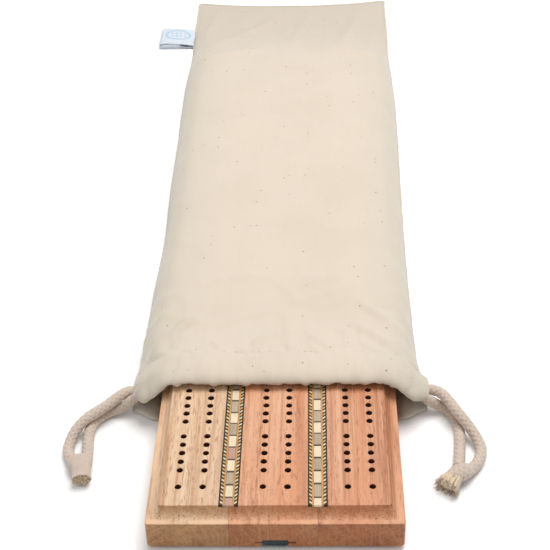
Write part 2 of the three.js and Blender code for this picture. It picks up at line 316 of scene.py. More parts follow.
class Shader:
    """A material's node graph, with positions in millimetres."""

    def __init__(self, name, seed, roughness, metallic=0.0, use_uv=False):
        self.seed = seed
        self.material = bpy.data.materials.new(name)
        self.material.use_nodes = True
        self.tree = self.material.node_tree
        self.surface("Roughness", roughness)
        self.surface("Metallic", metallic)
        coordinates = self.node("TexCoord")["UV" if use_uv else "Object"]
        self.position = self.node("VectorMath", {0: coordinates, "Scale": 1000.0},
                                  operation="SCALE")[0]

    def put(self, socket, value):
        if isinstance(value, bpy.types.NodeSocket):
            self.tree.links.new(value, socket)
        else:
            socket.default_value = value

    def surface(self, name, value):
        self.put(self.tree.nodes["Principled BSDF"].inputs[name], value)

    def node(self, kind, inputs=(), **settings):
        """Adds a node and gives its outputs; inputs go by order, or by name or number."""
        node = self.tree.nodes.new("ShaderNode" + kind)
        for key, value in settings.items():
            setattr(node, key, value)
        for key, value in inputs.items() if isinstance(inputs, dict) else enumerate(inputs):
            self.put(node.inputs[key], value)
        return node.outputs

    def maths(self, operation, a, b=0.0, c=0.0):
        return self.node("Math", (a, b, c), operation=operation)[0]

    def mul(self, a, b):
        return self.maths("MULTIPLY", a, b)

    def add(self, a, b):
        return self.maths("ADD", a, b)

    def absolute(self, value):
        return self.maths("ABSOLUTE", value)

    def split(self, vector):
        return self.node("SeparateXYZ", (vector,))

    def placed(self, stretch, step, strides, at=None):
        """Where a texture is read: stretched, then moved to its own part of the pattern."""
        at = self.position if at is None else at
        at = self.node("VectorMath", (at, stretch), operation="MULTIPLY")[0]
        shift = tuple((self.seed + step) * stride for stride in strides)
        return self.node("VectorMath", (at, shift), operation="ADD")[0]

    def noise(self, stretch, step=0, detail=2.0, roughness=0.5, distortion=0.0, at=None):
        """Noise with this many features per millimetre along each axis, 0 to 1."""
        spot = self.placed(stretch, step, (3.17, 1.73, 2.29), at)
        return self.node("TexNoise", {
            "Vector": spot, "Scale": 1.0, "Detail": detail, "Roughness": roughness,
            "Distortion": distortion})[0]

    def cells(self, stretch, step):
        """(distance to the nearest cell centre, a random value of that cell)."""
        spot = self.placed(stretch, step, (2.71, 1.37, 3.91))
        found = self.node("TexVoronoi", {"Vector": spot, "Scale": 1.0}, voronoi_dimensions="2D")
        return found["Distance"], self.split(found["Color"])[0]

    def range(self, value, low, high, to_low=0.0, to_high=1.0):
        return self.node("MapRange", (value, low, high, to_low, to_high), clamp=True)[0]

    def ramp(self, value, stops):
        colour = self.node("ValToRGB", (value,))[0]
        elements = colour.node.color_ramp.elements
        while len(elements) < len(stops):
            elements.new(0.5)
        for element, (position, shade) in zip(elements, stops):
            element.position, element.color = position, shade
        return colour

    def mix(self, share, a, b, blend="MIX"):
        return self.node("Mix", {0: share, 6: a, 7: b}, data_type="RGBA", blend_type=blend)[2]

    def layers(self, colour, *layers):
        """A colour with (share, colour) layers laid over it in turn."""
        for share, tint in layers:
            colour = self.mix(share, colour, tint)
        return colour

    def bump(self, height, strength, distance_mm):
        self.surface("Normal", self.node("Bump", {
            "Strength": strength, "Distance": distance_mm * MM, "Height": height})[0])


ARRIS_LEVEL = box_mm("stave_centre")[0][2] + 13.1  # height of the moulding's lower arris


def oak(name, pale, middle, deep, seed):
    """Open-grained wood running along Y, browner where the fibres are cut across."""
    s = Shader(name, seed, roughness=0.58)
    broad = s.noise((0.10, 0.0035, 0.07), detail=3, distortion=0.3)
    bands = s.noise((0.55, 0.010, 0.5), 5, detail=3)
    hair = s.noise((2.6, 0.035, 2.6), 9)
    tone = s.maths("MULTIPLY_ADD", bands, 0.40, s.mul(broad, 0.34))
    tone = s.maths("MULTIPLY_ADD", hair, 0.26, tone)
    colour = s.ramp(tone, [(0.41, deep), (0.50, middle), (0.59, pale)])
    flush = s.noise((0.055, 0.011, 0.055), 61)
    blush = s.range(flush, 0.50, 0.64, 0.0, 0.55)

    # open pores, gathered in rows
    rows = s.noise((0.30, 0.004, 0.30), 21)
    gather = s.range(rows, 0.40, 0.60, 0.35, 1.0)
    pores = s.noise((1.35, 0.17, 1.35), 13, detail=1.2)
    fine = s.noise((3.2, 0.30, 3.2), 17, detail=1.0)
    dash = s.mul(s.range(pores, 0.575, 0.66), gather)
    scratch = s.mul(s.range(fine, 0.60, 0.70), gather)
    colour = s.layers(colour, (blush, times(middle, 1.02, 0.80, 0.66)),
                      (s.mul(dash, 0.58), times(deep, 0.62, 0.44, 0.32)),
                      (s.mul(scratch, 0.45), times(deep, 0.66, 0.50, 0.40)))

    # end grain, on faces that look along Y
    facing = s.absolute(s.split(s.node("NewGeometry")["Normal"])[1])
    height = s.split(s.position)[2]
    leaning = s.node("VectorRotate", {
        "Vector": s.position, "Axis": Y_AXIS, "Angle": radians(28)}, rotation_type="AXIS_ANGLE")[0]
    rays = s.noise((0.10, 0.2, 1.9), 31, at=leaning)
    streaks = s.noise((0.9, 0.1, 0.05), 35, detail=3, at=leaning)
    upright = s.noise((1.5, 0.1, 0.06), 38)
    specks = s.noise((1.3, 0.3, 1.1), 41, detail=3, roughness=0.7)
    # above the lower arris the moulding's cut-across face is painted lighter: partly paler torn
    # fibres, partly painted light against the shade it sits in
    upward = s.range(height, ARRIS_LEVEL + 0.1, ARRIS_LEVEL + 1.0, 0.0, 0.6)
    end = s.layers(
        s.mix(1.0, colour, (0.70, 0.54, 0.34, 1), "MULTIPLY"),
        (s.range(rays, 0.42, 0.66, 0.0, 0.45), times(deep, 0.48, 0.36, 0.26)),
        (s.range(streaks, 0.50, 0.66, 0.0, 0.5), times(pale, 0.66, 0.55, 0.44)),
        (s.range(upright, 0.54, 0.66, 0.0, 0.5), times(pale, 0.70, 0.56, 0.44)),
        (s.range(specks, 0.58, 0.66, 0.0, 0.55), times(deep, 0.36, 0.25, 0.18)),
        (upward, s.mix(1.0, colour, (0.97, 0.87, 0.72, 1), "MULTIPLY")))

    # torn fibres where the moulding runs across the grain
    torn = s.noise((0.65, 1.3, 0.8), 51, detail=4, roughness=0.75)
    pulled = s.noise((1.6, 0.3, 0.35), 55, detail=3, roughness=0.7)
    edge = s.mul(s.range(facing, 0.10, 0.32), s.range(facing, 0.97, 0.80))
    chips = s.mul(s.range(torn, 0.575, 0.64), edge)
    fibres = s.mul(s.range(pulled, 0.52, 0.66), edge)

    # the lower arris of the moulding is painted pale, partly wear and partly a painted highlight,
    # more in some places than in others
    level = s.absolute(s.maths("SUBTRACT", height, ARRIS_LEVEL))
    wear_and_highlight_patches = s.noise((0.045, 0.045, 0.3), 71)
    worn = s.mul(s.range(level, 0.42, 0.16), s.range(wear_and_highlight_patches, 0.44, 0.56, 0.15, 0.85))
    s.surface("Base Color", s.layers(
        colour, (s.range(facing, 0.45, 0.93), end),
        (s.mul(fibres, 0.55), times(pale, 1.04, 0.98, 0.90)),
        (s.mul(chips, 0.72), times(deep, 0.46, 0.33, 0.24)),
        (worn, times(pale, 1.08, 1.00, 0.93))))

    s.surface("Roughness", s.range(hair, 0.3, 0.7, 0.50, 0.66))
    hollows = s.maths("SUBTRACT", s.mul(hair, 0.25), dash)
    s.bump(s.maths("SUBTRACT", hollows, s.mul(chips, 1.6)), 0.45, 0.12)
    return s.material


def veneer(name, colour, along=(2.2, 0.16, 2.2), contrast=0.18, roughness=0.5, seed=0.0):
    """A strip of inlay wood, with its grain along Y unless along says otherwise."""
    s = Shader(name, seed, roughness)
    grain = s.noise(along, detail=3)
    blotch = s.noise((0.12, 0.05, 0.1), 3)
    dark = times(colour, 1 - contrast, 1 - 1.15 * contrast, 1 - 1.3 * contrast)
    light = times(colour, *[1 + 0.5 * contrast] * 3)
    tone = s.maths("MULTIPLY_ADD", blotch, 0.4, s.mul(grain, 0.6))
    s.surface("Base Color", s.ramp(tone, [(0.36, dark), (0.64, light)]))
    s.bump(grain, 0.2, 0.03)
    return s.material


def metal(name, colour, roughness, brush=(0.3, 3.0, 3.0), seed=0.0, tarnish=0.25):
    """Sheet or turned metal, finely brushed and a little tarnished."""
    s = Shader(name, seed, roughness, metallic=1.0)
    lines = s.noise(brush, detail=3)
    cloud = s.noise((0.14, 0.14, 0.14), 2, detail=3)
    worn = times(colour, 1 - tarnish, 1 - 1.1 * tarnish, 1 - 1.3 * tarnish)
    s.surface("Base Color", s.mix(s.range(cloud, 0.4, 0.68), colour, worn))
    s.surface("Roughness", s.range(lines, 0.3, 0.7, roughness * 0.75, roughness * 1.35))
    s.bump(lines, 0.18, 0.02)
    return s.material


THREAD_PITCH = 0.46  # from one thread of the cloth to the next
# what flecks the cloth: how many per millimetre, size, share of cells left empty, tint;
# dark and brown bits of seed case, and a few pale knots
FLECKS = ((0.085, 0.044, 0.80, (0.26, 0.17, 0.10)), (0.11, 0.050, 0.93, (0.48, 0.38, 0.27)),
          (0.09, 0.036, 0.94, (1.10, 1.12, 1.16)))


def cotton(name, base, seed):
    """Plain-woven cotton cloth; the mesh's UV map holds lengths along the cloth."""
    s = Shader(name, seed, roughness=0.95, use_uv=True)
    across, along, _ = s.split(s.position)
    wobble = s.noise((0.25, 0.25, 0.25), 1)
    u = s.maths("MULTIPLY_ADD", across, pi / THREAD_PITCH, s.mul(wobble, 2.2))
    v = s.maths("MULTIPLY_ADD", along, pi / THREAD_PITCH, s.mul(wobble, -1.9))
    weave = s.mul(s.maths("SINE", u), s.maths("SINE", v))
    slubs = s.add(*(s.range(s.noise(stretch, step, detail=1), 0.58, 0.72)
                    for stretch, step in (((0.035, 2.1, 1.0), 4), ((2.1, 0.035, 1.0), 6))))
    cloud = s.noise((0.030, 0.030, 0.030), 8)
    dark, light = times(base, 0.965, 0.965, 0.955), times(base, 1.012, 1.01, 1.01)
    colour = s.ramp(cloud, [(0.35, dark), (0.52, base), (0.68, light)])
    # painted shade: greyer on the sloping sides and towards the closed end, where the cloth falls
    # away from the board
    beside = s.range(s.absolute(s.add(across, -3.0)), 32.0, 62.0, 0.0, 0.85)
    far = s.range(along, 125.0, 25.0, 0.0, 1.0)
    colour = s.layers(colour, (beside, times(base, 0.85, 0.90, 0.89)),
                      (far, times(base, 0.88, 0.89, 0.90)),
                      # painted shade in the hollows of the weave
                      (s.range(weave, -1, 1, 0.16, 0.0), times(base, 0.76, 0.73, 0.68)),
                      (s.mul(slubs, 0.12), times(base, 0.82, 0.79, 0.74)))
    for step, (per_mm, size, empty, tint) in enumerate(FLECKS):
        distance, pick = s.cells((per_mm, per_mm, 0), 11 + step)
        spot = s.mul(s.range(distance, size, size * 0.45), s.maths("GREATER_THAN", pick, empty))
        colour = s.mix(s.mul(spot, 0.85), colour, times(base, *tint))
    s.surface("Base Color", colour)
    s.surface("Sheen Weight", 0.25)
    s.surface("Sheen Roughness", 0.6)
    s.bump(s.add(weave, s.mul(slubs, 0.8)), 0.35, 0.05)
    return s.material


def yarn(name, base, shade, seed, shade_hollows=True):
    """Soft spun cotton; the mesh's relief values paint shade into the hollows between strands."""
    s = Shader(name, seed, roughness=0.95)
    fibres = s.noise((2.4, 2.4, 2.4), detail=4, roughness=0.7)
    cloud = s.noise((0.18, 0.18, 0.18), 3)
    colour = s.ramp(cloud, [(0.35, times(base, 0.92, 0.90, 0.88)), (0.62, base)])
    colour = s.mix(s.range(fibres, 0.35, 0.65, 0.24, 0.0), colour, shade)
    if shade_hollows:
        # painted shade in the hollows of the braid
        relief = s.node("Attribute", attribute_name="relief")["Fac"]
        colour = s.mix(s.range(relief, -0.9, 0.4, 0.34, 0.0), colour, shade)
    s.surface("Base Color", colour)
    s.surface("Sheen Weight", 0.3)
    s.bump(fibres, 0.5, 0.12)
    return s.material


OAK_LEFT = oak("oak_light", seen(238, 202, 167), seen(226, 187, 151), seen(202, 155, 116), 1.0)
OAK_CENTRE = oak("oak_pink", seen(236, 179, 140), seen(225, 165, 124), seen(196, 130, 90), 4.0)
OAK_RIGHT = oak("oak_warm", seen(232, 176, 138), seen(220, 158, 118), seen(186, 120, 80), 8.0)
# painted shade: the walls and floors of the drilled holes take a dark brown standing for the shade
# inside them
HOLE_SHADE = veneer("oak_hole_painted_shade", seen(84, 36, 22), along=(1, 1, 0.3), contrast=0.35,
                 roughness=0.95, seed=10.0)
EBONY = veneer("band_ebony", seen(36, 32, 20), contrast=0.4, roughness=0.75, seed=2.0)
ROPE_DARK = veneer("band_rope_dark", seen(70, 54, 26), contrast=0.35, roughness=0.7, seed=3.0)
ROPE_PALE = veneer("band_rope_pale", seen(224, 210, 170), contrast=0.15, seed=4.0)
ROPE_GOLD = veneer("band_rope_gold", seen(204, 166, 100), contrast=0.2, seed=5.0)
GOLD = veneer("band_gold", seen(208, 150, 82), contrast=0.22, seed=6.0)
MAPLE = veneer("band_ladder_maple", seen(238, 219, 186), contrast=0.14, seed=7.0)
GREYWOOD = veneer("band_ladder_grey", seen(190, 168, 142), contrast=0.22, seed=8.0)
REDWOOD = veneer("band_ladder_red", seen(196, 152, 132), contrast=0.2, seed=8.5)
RUNG = veneer("band_ladder_rung", seen(70, 50, 30), along=(0.2, 2, 2), contrast=0.4, seed=9.0)
STEEL_SHEET = metal("steel_sheet", seen(82, 93, 98), 0.42, brush=(0.25, 0.02, 4.0), seed=1.0)
PEG_METALS = {"steel": metal("peg_steel", (0.62, 0.64, 0.67, 1), 0.24, seed=2.0),
              "brass": metal("peg_brass", (0.74, 0.52, 0.22, 1), 0.26, seed=3.0),
              "black": metal("peg_black", (0.035, 0.035, 0.04, 1), 0.34, seed=4.0, tarnish=0.4)}
COTTON = cotton("cotton_cloth", seen(226, 211, 192), 3.0)
# the same cloth for the lower panel and hem, tinted cooler grey-green to paint the look of the
# cloth in shade
COTTON_SHADE = cotton("cotton_cloth_lower_shade_tint", seen(226, 216, 200), 5.0)
THREAD = yarn("cotton_thread", seen(236, 226, 210), seen(196, 182, 160), 2.0, shade_hollows=False)
CORD = yarn("cotton_cord", seen(226, 209, 194), seen(160, 138, 118), 4.0)
# cut ends: their own paler, yellower tone, made lighter still as painted light against the shade
# the brush lies in
CORD_CUT_PALE_AND_LIT = yarn("cotton_cord_cut_pale_and_lit", seen(236, 216, 184), seen(212, 186, 148), 6.0, shade_hollows=False)


# ---------------------------------------------------------------- camera

def make_camera():
    data = bpy.data.cameras.new("camera")
    data.sensor_width = 36.0
    data.lens = 85.516
    data.clip_start = 0.01
    camera = link("camera", data)
    yaw, pitch, roll = (radians(a) for a in (2.323, 35.787, -1.777))
    turn = (Matrix.Rotation(yaw, 4, "Z") @ Matrix.Rotation(pi / 2 - pitch, 4, "X")
            @ Matrix.Rotation(roll, 4, "Z"))
    camera.matrix_world = Matrix.Translation((0.0175, -0.54755, 0.3885)) @ turn
    scene.camera = camera


make_camera()


# ---------------------------------------------------------------- drawcord

CORD_DIAMETER = 4.5
CORD_FULL = 4.85   # the soft outside of the loose strands, where nothing presses on them
BRAID_TURN = 14.0  # length in which a yarn goes once round the cord
YARNS = 5          # in each direction

STRANDS = {
    "drawcord_left_over": [
        (-64.8, -108.7, 8.7), (-67.4, -109.5, 9.1), (-70.8, -112.4, 9), (-74.6, -116.4, 8.4),
        (-79, -120.3, 7.6), (-83.6, -124.4, 6.9), (-87.5, -129, 5), (-89.6, -134, 3.1),
        (-90, -139, 2.4), (-88.6, -144, 2.5), (-86.2, -148.5, 2.9)],
    "drawcord_left_under": [
        (-64.7, -113.9, 8.2), (-66.8, -114.1, 6.2), (-70, -114.1, 3.8), (-74, -115, 2.6),
        (-78, -117.6, 2.4), (-81.1, -121.9, 2.4), (-82.3, -127.3, 2.4), (-82.2, -133.3, 2.4),
        (-81.6, -139.5, 2.4), (-81, -145.7, 2.6), (-80.9, -149, 2.8)],
    "drawcord_right_over": [
        (64.8, -108.7, 8.7), (67.6, -109.2, 9.2), (70.6, -110.9, 9.2), (72.8, -113.6, 9),
        (74.8, -117.2, 8.6), (77, -121.8, 8.1), (79.6, -126.2, 7.2), (82.4, -130.5, 5.6),
        (84.8, -134.6, 3.7), (86, -138.8, 2.6), (85.6, -143, 2.4), (83.4, -148.6, 2.6),
        (79.6, -153.6, 3)],
    "drawcord_right_under": [
        (64.7, -113.9, 8.2), (67, -113.6, 6.1), (70, -113.2, 3.9), (73, -114.2, 2.7),
        (75.7, -117.3, 2.4), (77.3, -121.7, 2.4), (77.9, -126.5, 2.4), (77.9, -131.5, 2.4),
        (77.2, -138.7, 2.4), (76.3, -146, 2.6), (75.4, -151, 2.9)],
}


def braided(name, route, diameter=CORD_FULL, sides=40, step=0.3, seed=0.0, yarns=YARNS,
            girth=None, flatness=1.0):
    """A round-braided cord along a route: two sets of yarns crossing in diamonds."""
    dense = spline(route)
    length = run_lengths(dense)[-1]
    line = resample(dense, max(8, round(length / step)))
    relief = []

    def ring(i, angle):
        along = length * i / (len(line) - 1)
        swell = 1 + 0.035 * perlin(along * 0.17, seed, 1.7)
        if girth:
            swell *= girth(along / length)
        turn = tau * along / BRAID_TURN
        one = cos(yarns * (angle + turn))
        two = cos(yarns * (angle - turn) + 0.4)
        upper = one if sin(yarns * turn * 2) > 0 else two
        relief.append(max(one, two) * 0.65 + 0.35 * upper)
        fuzz = 0.06 * perlin(along * 1.9, angle * 3, seed)
        radius = diameter / 2 * 0.94 * swell + 0.18 * relief[-1] + fuzz
        return radius * cos(angle), radius * flatness * sin(angle)

    points, faces = sweep(line, ring, sides)
    relief += [0.0, 0.0]  # the middles of the two ends
    for point in points:
        point.z = max(point.z, 0.02)  # pressed flat where it lies on the table
    cord = outward(mesh_piece(name, points, faces, [CORD], sharp=None, relief=relief))
    return cord, line, length


def table_at(table, share):
    """A value between evenly spaced ones."""
    spot = share * (len(table) - 1)
    i = min(int(spot), len(table) - 2)
    return lerp(table[i], table[i + 1], smoothstep(spot - i, 0, 1))


def yarn_stalk(root, direction, reach, lean, thickness, floor, steps=6):
    """A short cut yarn; it rests on the table where it droops."""
    path = []
    for t in (i / steps for i in range(steps + 1)):
        p = root + direction * reach * t + lean * t * t
        path.append(Vector((p.x, p.y, max(p.z, floor))))

    def ring(i, angle):
        radius = thickness * (1 + 0.16 * sin(3 * angle + i)) * (1 - 0.35 * (i / steps) ** 3)
        return radius * cos(angle), radius * sin(angle)

    return sweep(path, ring, 9)


def make_left_end():
    """The bound end: a soft sleeve round both strands, packed with their cut ends."""
    line = resample(spline([(-83.9, -146.4, 3.7), (-83.4, -149.0, 4.0), (-82.6, -152.2, 4.1),
                            (-81.9, -155.6, 4.1), (-81.4, -159.2, 4.0)]), 30)
    half_width = [5.2, 5.35, 4.9, 4.2, 3.85, 3.85, 4.1]
    half_height = [3.1, 3.3, 3.3, 3.2, 3.1, 3.1, 3.3]
    sides, wall = 110, 0.6
    recess = 2  # rows from the mouth to the cut ends

    def rings(shrink):
        def offsets(i, angle):
            share = i / (len(line) - 1)
            pleats = 0.14 * sin(7 * angle + 5 * share) + 0.28 * perlin(angle * 1.2, share * 4)
            pleats += 0.11 * sin(22 * angle + 3 * share) * (0.6 + perlin(angle * 3, share * 9))
            wide = table_at(half_width, share) + pleats - shrink
            high = table_at(half_height, share) + pleats * 0.6 - shrink
            return wide * cos(angle), high * sin(angle)
        points = sweep(line, offsets, sides, close_ends=False)[0]
        return [points[i:i + sides] for i in range(0, len(points), sides)]

    outer, inner = rings(0.0), rings(wall)
    forward = (line[-1] - line[-2]).normalized()
    lip = [(a + b) / 2 + forward * (0.18 + 0.3 * perlin(k * 0.9, 7.0))
           for k, (a, b) in enumerate(zip(outer[-1], inner[-1]))]
    rows = outer + [lip] + inner[:-recess - 1:-1]
    points = [p for row in rows for p in row]
    start, end = len(points), (len(rows) - 1) * sides
    points += [line[0] - (line[1] - line[0]) * 1.5, line[-recess]]
    faces = grid_faces(len(rows), sides, closed=True)
    for k in range(sides):
        faces.append((start, (k + 1) % sides, k))
        faces.append((start + 1, end + k, end + (k + 1) % sides))
    sleeve = Parts().add(points, faces).piece("drawcord_left_sleeve", [CORD], sharp=60.0)

    cut = Parts()
    rng = random.Random(11)
    side, up = path_frames(line)[-1]
    for _ in range(120):
        angle, radius = rng.uniform(0, tau), sqrt(rng.random())
        root = line[-2] + side * 3.2 * radius * cos(angle) + up * 2.45 * radius * sin(angle)
        lean = side * rng.uniform(-0.3, 0.3) + up * rng.uniform(-0.3, 0.3)
        cut.add(*yarn_stalk(root - forward * 0.7, forward, rng.uniform(1.0, 1.75), lean,
                            rng.uniform(0.2, 0.34), 0.3, steps=3))
    return sleeve, cut.piece("drawcord_left_cut_ends", [CORD_CUT_PALE_AND_LIT], sharp=70.0)


def make_right_end():
    """Both strands bound over each other into one lump, cut off in a short blunt brush."""
    route = [(79.8, -151.6, 2.9), (78.6, -153.8, 3.8), (76.6, -155.4, 4.6), (74.2, -157.0, 4.6),
             (72.0, -159.0, 4.2)]
    girths = [0.60, 0.86, 1.02, 1.06, 1.0, 0.94]
    lump, line, _ = braided(
        "drawcord_right_knot_turns", route, diameter=8.0, sides=56, seed=5.0, yarns=6,
        girth=lambda share: table_at(girths, share), flatness=0.86)
    forward = Vector((-0.60, -0.79, -0.10)).normalized()
    side = forward.cross(Z_AXIS).normalized()
    up = side.cross(forward).normalized()

    # a ruffled core, so that no gap shows between the yarns
    core = [line[-1] + forward * t for t in (-2.0, -1.0, 0.0, 1.0, 2.0, 3.0, 4.0, 4.6)]
    spread = (3.2, 3.5, 3.8, 4.1, 4.3, 4.3, 3.7, 2.0)

    def body(i, angle):
        radius = spread[i] * (1 + 0.07 * sin(9 * angle) + 0.10 * perlin(angle * 2.0, i * 0.6, 3.0))
        return radius * cos(angle), 0.72 * radius * sin(angle)

    brush = Parts().add(*sweep(core, body, 48), slot=1)
    rng = random.Random(23)
    middle = line[-1] - forward * 2.6
    for _ in range(96):
        angle, radius = rng.uniform(0, tau), sqrt(rng.random())
        across, rise = radius * cos(angle), radius * sin(angle)
        root = middle + side * 3.3 * across + up * 2.3 * rise
        flare = side * (0.34 * across + rng.uniform(-0.10, 0.10)) + up * (0.20 * rise - 0.04)
        lean = side * rng.uniform(-0.5, 0.5) + up * rng.uniform(-0.6, 0.1)
        reach = rng.uniform(6.2, 7.0) + (1.6 * rng.random() if radius > 0.8 else 0.0)
        brush.add(*yarn_stalk(root, forward + flare, reach, lean, rng.uniform(0.5, 0.75), 0.5),
                  slot=rng.choice((0, 1, 1)))
        for _ in range(3):  # fine stray fibres
            stray = root + side * rng.uniform(-0.5, 0.5) + up * rng.uniform(-0.4, 0.4)
            brush.add(*yarn_stalk(stray, forward + flare, reach + rng.uniform(0.2, 1.3),
                                  lean + side * rng.uniform(-0.7, 0.7), 0.12, 0.2))
    for point in brush.points:
        point.z = max(point.z, 0.03)
    return lump, brush.piece("drawcord_right_brush", [CORD, CORD_CUT_PALE_AND_LIT], sharp=70.0)


def make_drawcord():
    on_end = {"left": make_left_end(), "right": make_right_end()}
    for seed, (node, route) in enumerate(STRANDS.items()):
        strand, line, length = braided("cord_" + node[9:], route, seed=float(seed))
        place(strand, "bag", "cotton_cord", node)
        side = "left" if "left" in node else "right"
    for side, (knot, ends) in on_end.items():
        place(knot, "bag", "cotton_cord", f"drawcord_{side}_knot")
        place(ends, "bag", "cotton_cord")


make_drawcord()


# ---------------------------------------------------------------- board

(_, _, UNDERSIDE), (_, HALF_LENGTH, BOARD_TOP) = box_mm("stave_centre")
HALF_WIDTH = box_mm("stave_right")[1][0]
HEIGHT = BOARD_TOP - UNDERSIDE
CORNER = 1.3  # radius of the board's upright corners
COVE_WIDTH, COVE_DROP = 5.2, 5.0
GLUE_GAP = 0.1
JOINTS = (-18.1, 16.8)
BAND_WIDTH, GROOVE_DEPTH = 7.63, 1.1
HOLE_RADIUS, HOLE_DEPTH, HOLE_PITCH = 1.3, 8.0, 4.96
FIVES_GAP, END_HOLE_GAP, FIVES = 9.09, 9.25, 12
STREET_SPACING, COLUMN_SPACING = 33.6, 9.79
PAST = 9.0            # how far a cutter reaches past the board
SLOT_HALF = 5.3       # of the peg compartment and its doorway
KERF_LOW, KERF_HIGH = UNDERSIDE + 2.1, UNDERSIDE + 3.1


def board_blank():
    """The glued-up board before drilling: eased foot, upright side, hollow moulding."""
    levels = [(1.05, 0.0), (0.66, 0.1), (0.31, 0.36), (0.09, 0.72), (0.0, 1.15), (0.0, 4.0),
              (0.0, 8.0), (0.0, 11.4), (0.0, 12.62), (0.09, 12.84), (0.3, 12.98)]
    for step in range(1, 10):
        angle = pi / 2 * step / 10
        levels.append((COVE_WIDTH * sin(angle), HEIGHT - COVE_DROP * cos(angle)))
    levels += [(COVE_WIDTH - 0.02, HEIGHT - 0.22), (COVE_WIDTH + 0.07, HEIGHT - 0.07),
               (COVE_WIDTH + 0.24, HEIGHT)]

    def outline(inset):
        """The plan at this inset, as (x, y, outward normal's x, y)."""
        x, y = HALF_WIDTH - inset - CORNER, HALF_LENGTH - inset - CORNER
        arcs = quarter_arcs(((-x, -y, 180), (x, -y, -90), (x, y, 0), (-x, y, 90)), CORNER, 4)
        ring = []
        for i, arc in enumerate(arcs):
            steps = (90, 128)[i % 2]
            a, b = arc[-1], arcs[(i + 1) % 4][0]
            ring += arc + [(lerp(a[0], b[0], k / steps), lerp(a[1], b[1], k / steps), *b[2:])
                           for k in range(1, steps)]
        return ring

    points = []
    for level, (inset, height) in enumerate(levels):
        on_cove = 1.0 if 9 <= level <= 20 else 0.25
        for x, y, nx, ny in outline(inset):
            wave = 0.075 * perlin(x * 0.21, y * 0.045, height * 0.5) * on_cove
            torn = perlin(x * 0.8 + 9, y * 0.3, height * 0.9)
            pit = -0.28 * max(0.0, torn - 0.25) * on_cove * ny ** 2
            shift = (wave + pit) * (0.35 + 0.65 * abs(ny))
            if level in (0, len(levels) - 1):
                shift = 0.0
            points.append((x + nx * shift, y + ny * shift, UNDERSIDE + height))
    faces = tube_faces(len(levels), len(points) // len(levels))
    return outward(mesh_piece("blank", points, faces, [OAK_CENTRE], sharp=None))


def box_cutter(low, high):
    return Parts().add(*eased_box(low, high, 0.001))


def combine(obj, operation, parts):
    """Cuts obj with, or keeps only what is inside, the parts' closed islands."""
    cutter = parts.piece("cutter", [], sharp=None)
    modifier = obj.modifiers.new("cut", "BOOLEAN")
    modifier.operation = operation
    modifier.object = cutter
    modifier.solver = "MANIFOLD"
    apply_modifiers(obj)
    if not obj.data.polygons:
        raise RuntimeError(f"the cut of {obj.name} left nothing")
    bpy.data.objects.remove(cutter)


def column_centres():
    five = 4 * HOLE_PITCH
    length = 2 * END_HOLE_GAP + FIVES * five + (FIVES - 1) * FIVES_GAP
    centres = [-length / 2, length / 2]
    for i in range(FIVES):
        start = -length / 2 + END_HOLE_GAP + i * (five + FIVES_GAP)
        centres += [start + k * HOLE_PITCH for k in range(5)]
    return centres


def drills(street):
    """The blind holes of one street, each with a slightly eased rim and its own wander."""
    parts = Parts()
    rng = random.Random(40 + street)
    profile = [(0.0, -HOLE_DEPTH), (0.75, -HOLE_DEPTH + 0.35), (HOLE_RADIUS, -HOLE_DEPTH + 0.8),
               (HOLE_RADIUS, -0.22), (HOLE_RADIUS + 0.07, -0.07), (HOLE_RADIUS + 0.2, 0.06),
               (HOLE_RADIUS + 0.2, 0.8), (0.0, 0.8)]
    for side in (-1, 1):
        x0 = street * STREET_SPACING + side * COLUMN_SPACING / 2
        for y0 in column_centres():
            x, y = x0 + rng.uniform(-0.07, 0.07), y0 + rng.uniform(-0.07, 0.07)
            grow, phase = rng.uniform(0.97, 1.03), rng.uniform(0, tau)

            def wall(radius, depth, angle):
                r = radius * grow * (1 + 0.015 * sin(3 * angle + phase))
                return x + r * cos(angle), y + r * sin(angle), BOARD_TOP + depth

            parts.add(*turned(profile, wall, 28))
    return parts


def compartment_cutters():
    """What cuts the peg compartment, its doorway and the kerfs for the cover."""
    front, back = -HALF_LENGTH + 7.0, -HALF_LENGTH + 105.0
    low, roof = UNDERSIDE - 5.0, UNDERSIDE + 8.6
    r = 1.6
    arcs = quarter_arcs(((SLOT_HALF - r, front + r, -90), (SLOT_HALF - r, back - r, 0),
                         (-SLOT_HALF + r, back - r, 90), (-SLOT_HALF + r, front + r, 180)), r, 6)
    plan = [point[:2] for arc in arcs for point in arc]
    pocket = Parts().add(
        [(x, y, low) for x, y in plan] + [(x, y, roof - 0.4) for x, y in plan]
        + [(x * 0.93, front + (y - front) * 0.994 + 0.3, roof) for x, y in plan],
        tube_faces(3, len(plan)))
    spring, crown = UNDERSIDE + 3.5, UNDERSIDE + 4.0
    arch = [(-SLOT_HALF, low), (SLOT_HALF, low), (SLOT_HALF, spring), (4.8, crown),
            (-4.8, crown), (-SLOT_HALF, spring)]
    doorway = Parts().add([(x, y, z) for y in (-HALF_LENGTH - 5, front + 2.5) for x, z in arch],
                          tube_faces(2, len(arch)))
    kerfs = box_cutter((-8.15, -HALF_LENGTH - 5, KERF_LOW), (8.15, back, KERF_HIGH))
    return pocket, doorway, kerfs


def in_a_hole(spot):
    """Whether a face's middle is on the wall or floor of a drilled hole."""
    x, y, z = spot
    beside_grooves = min(abs(x - joint) for joint in JOINTS) > BAND_WIDTH / 2 + GLUE_GAP + 0.2
    return (BOARD_TOP - HOLE_DEPTH - 0.1 < z < BOARD_TOP - 0.3 and beside_grooves
            and abs(x) < HALF_WIDTH - COVE_WIDTH - 1 and abs(y) < HALF_LENGTH - COVE_WIDTH - 1)


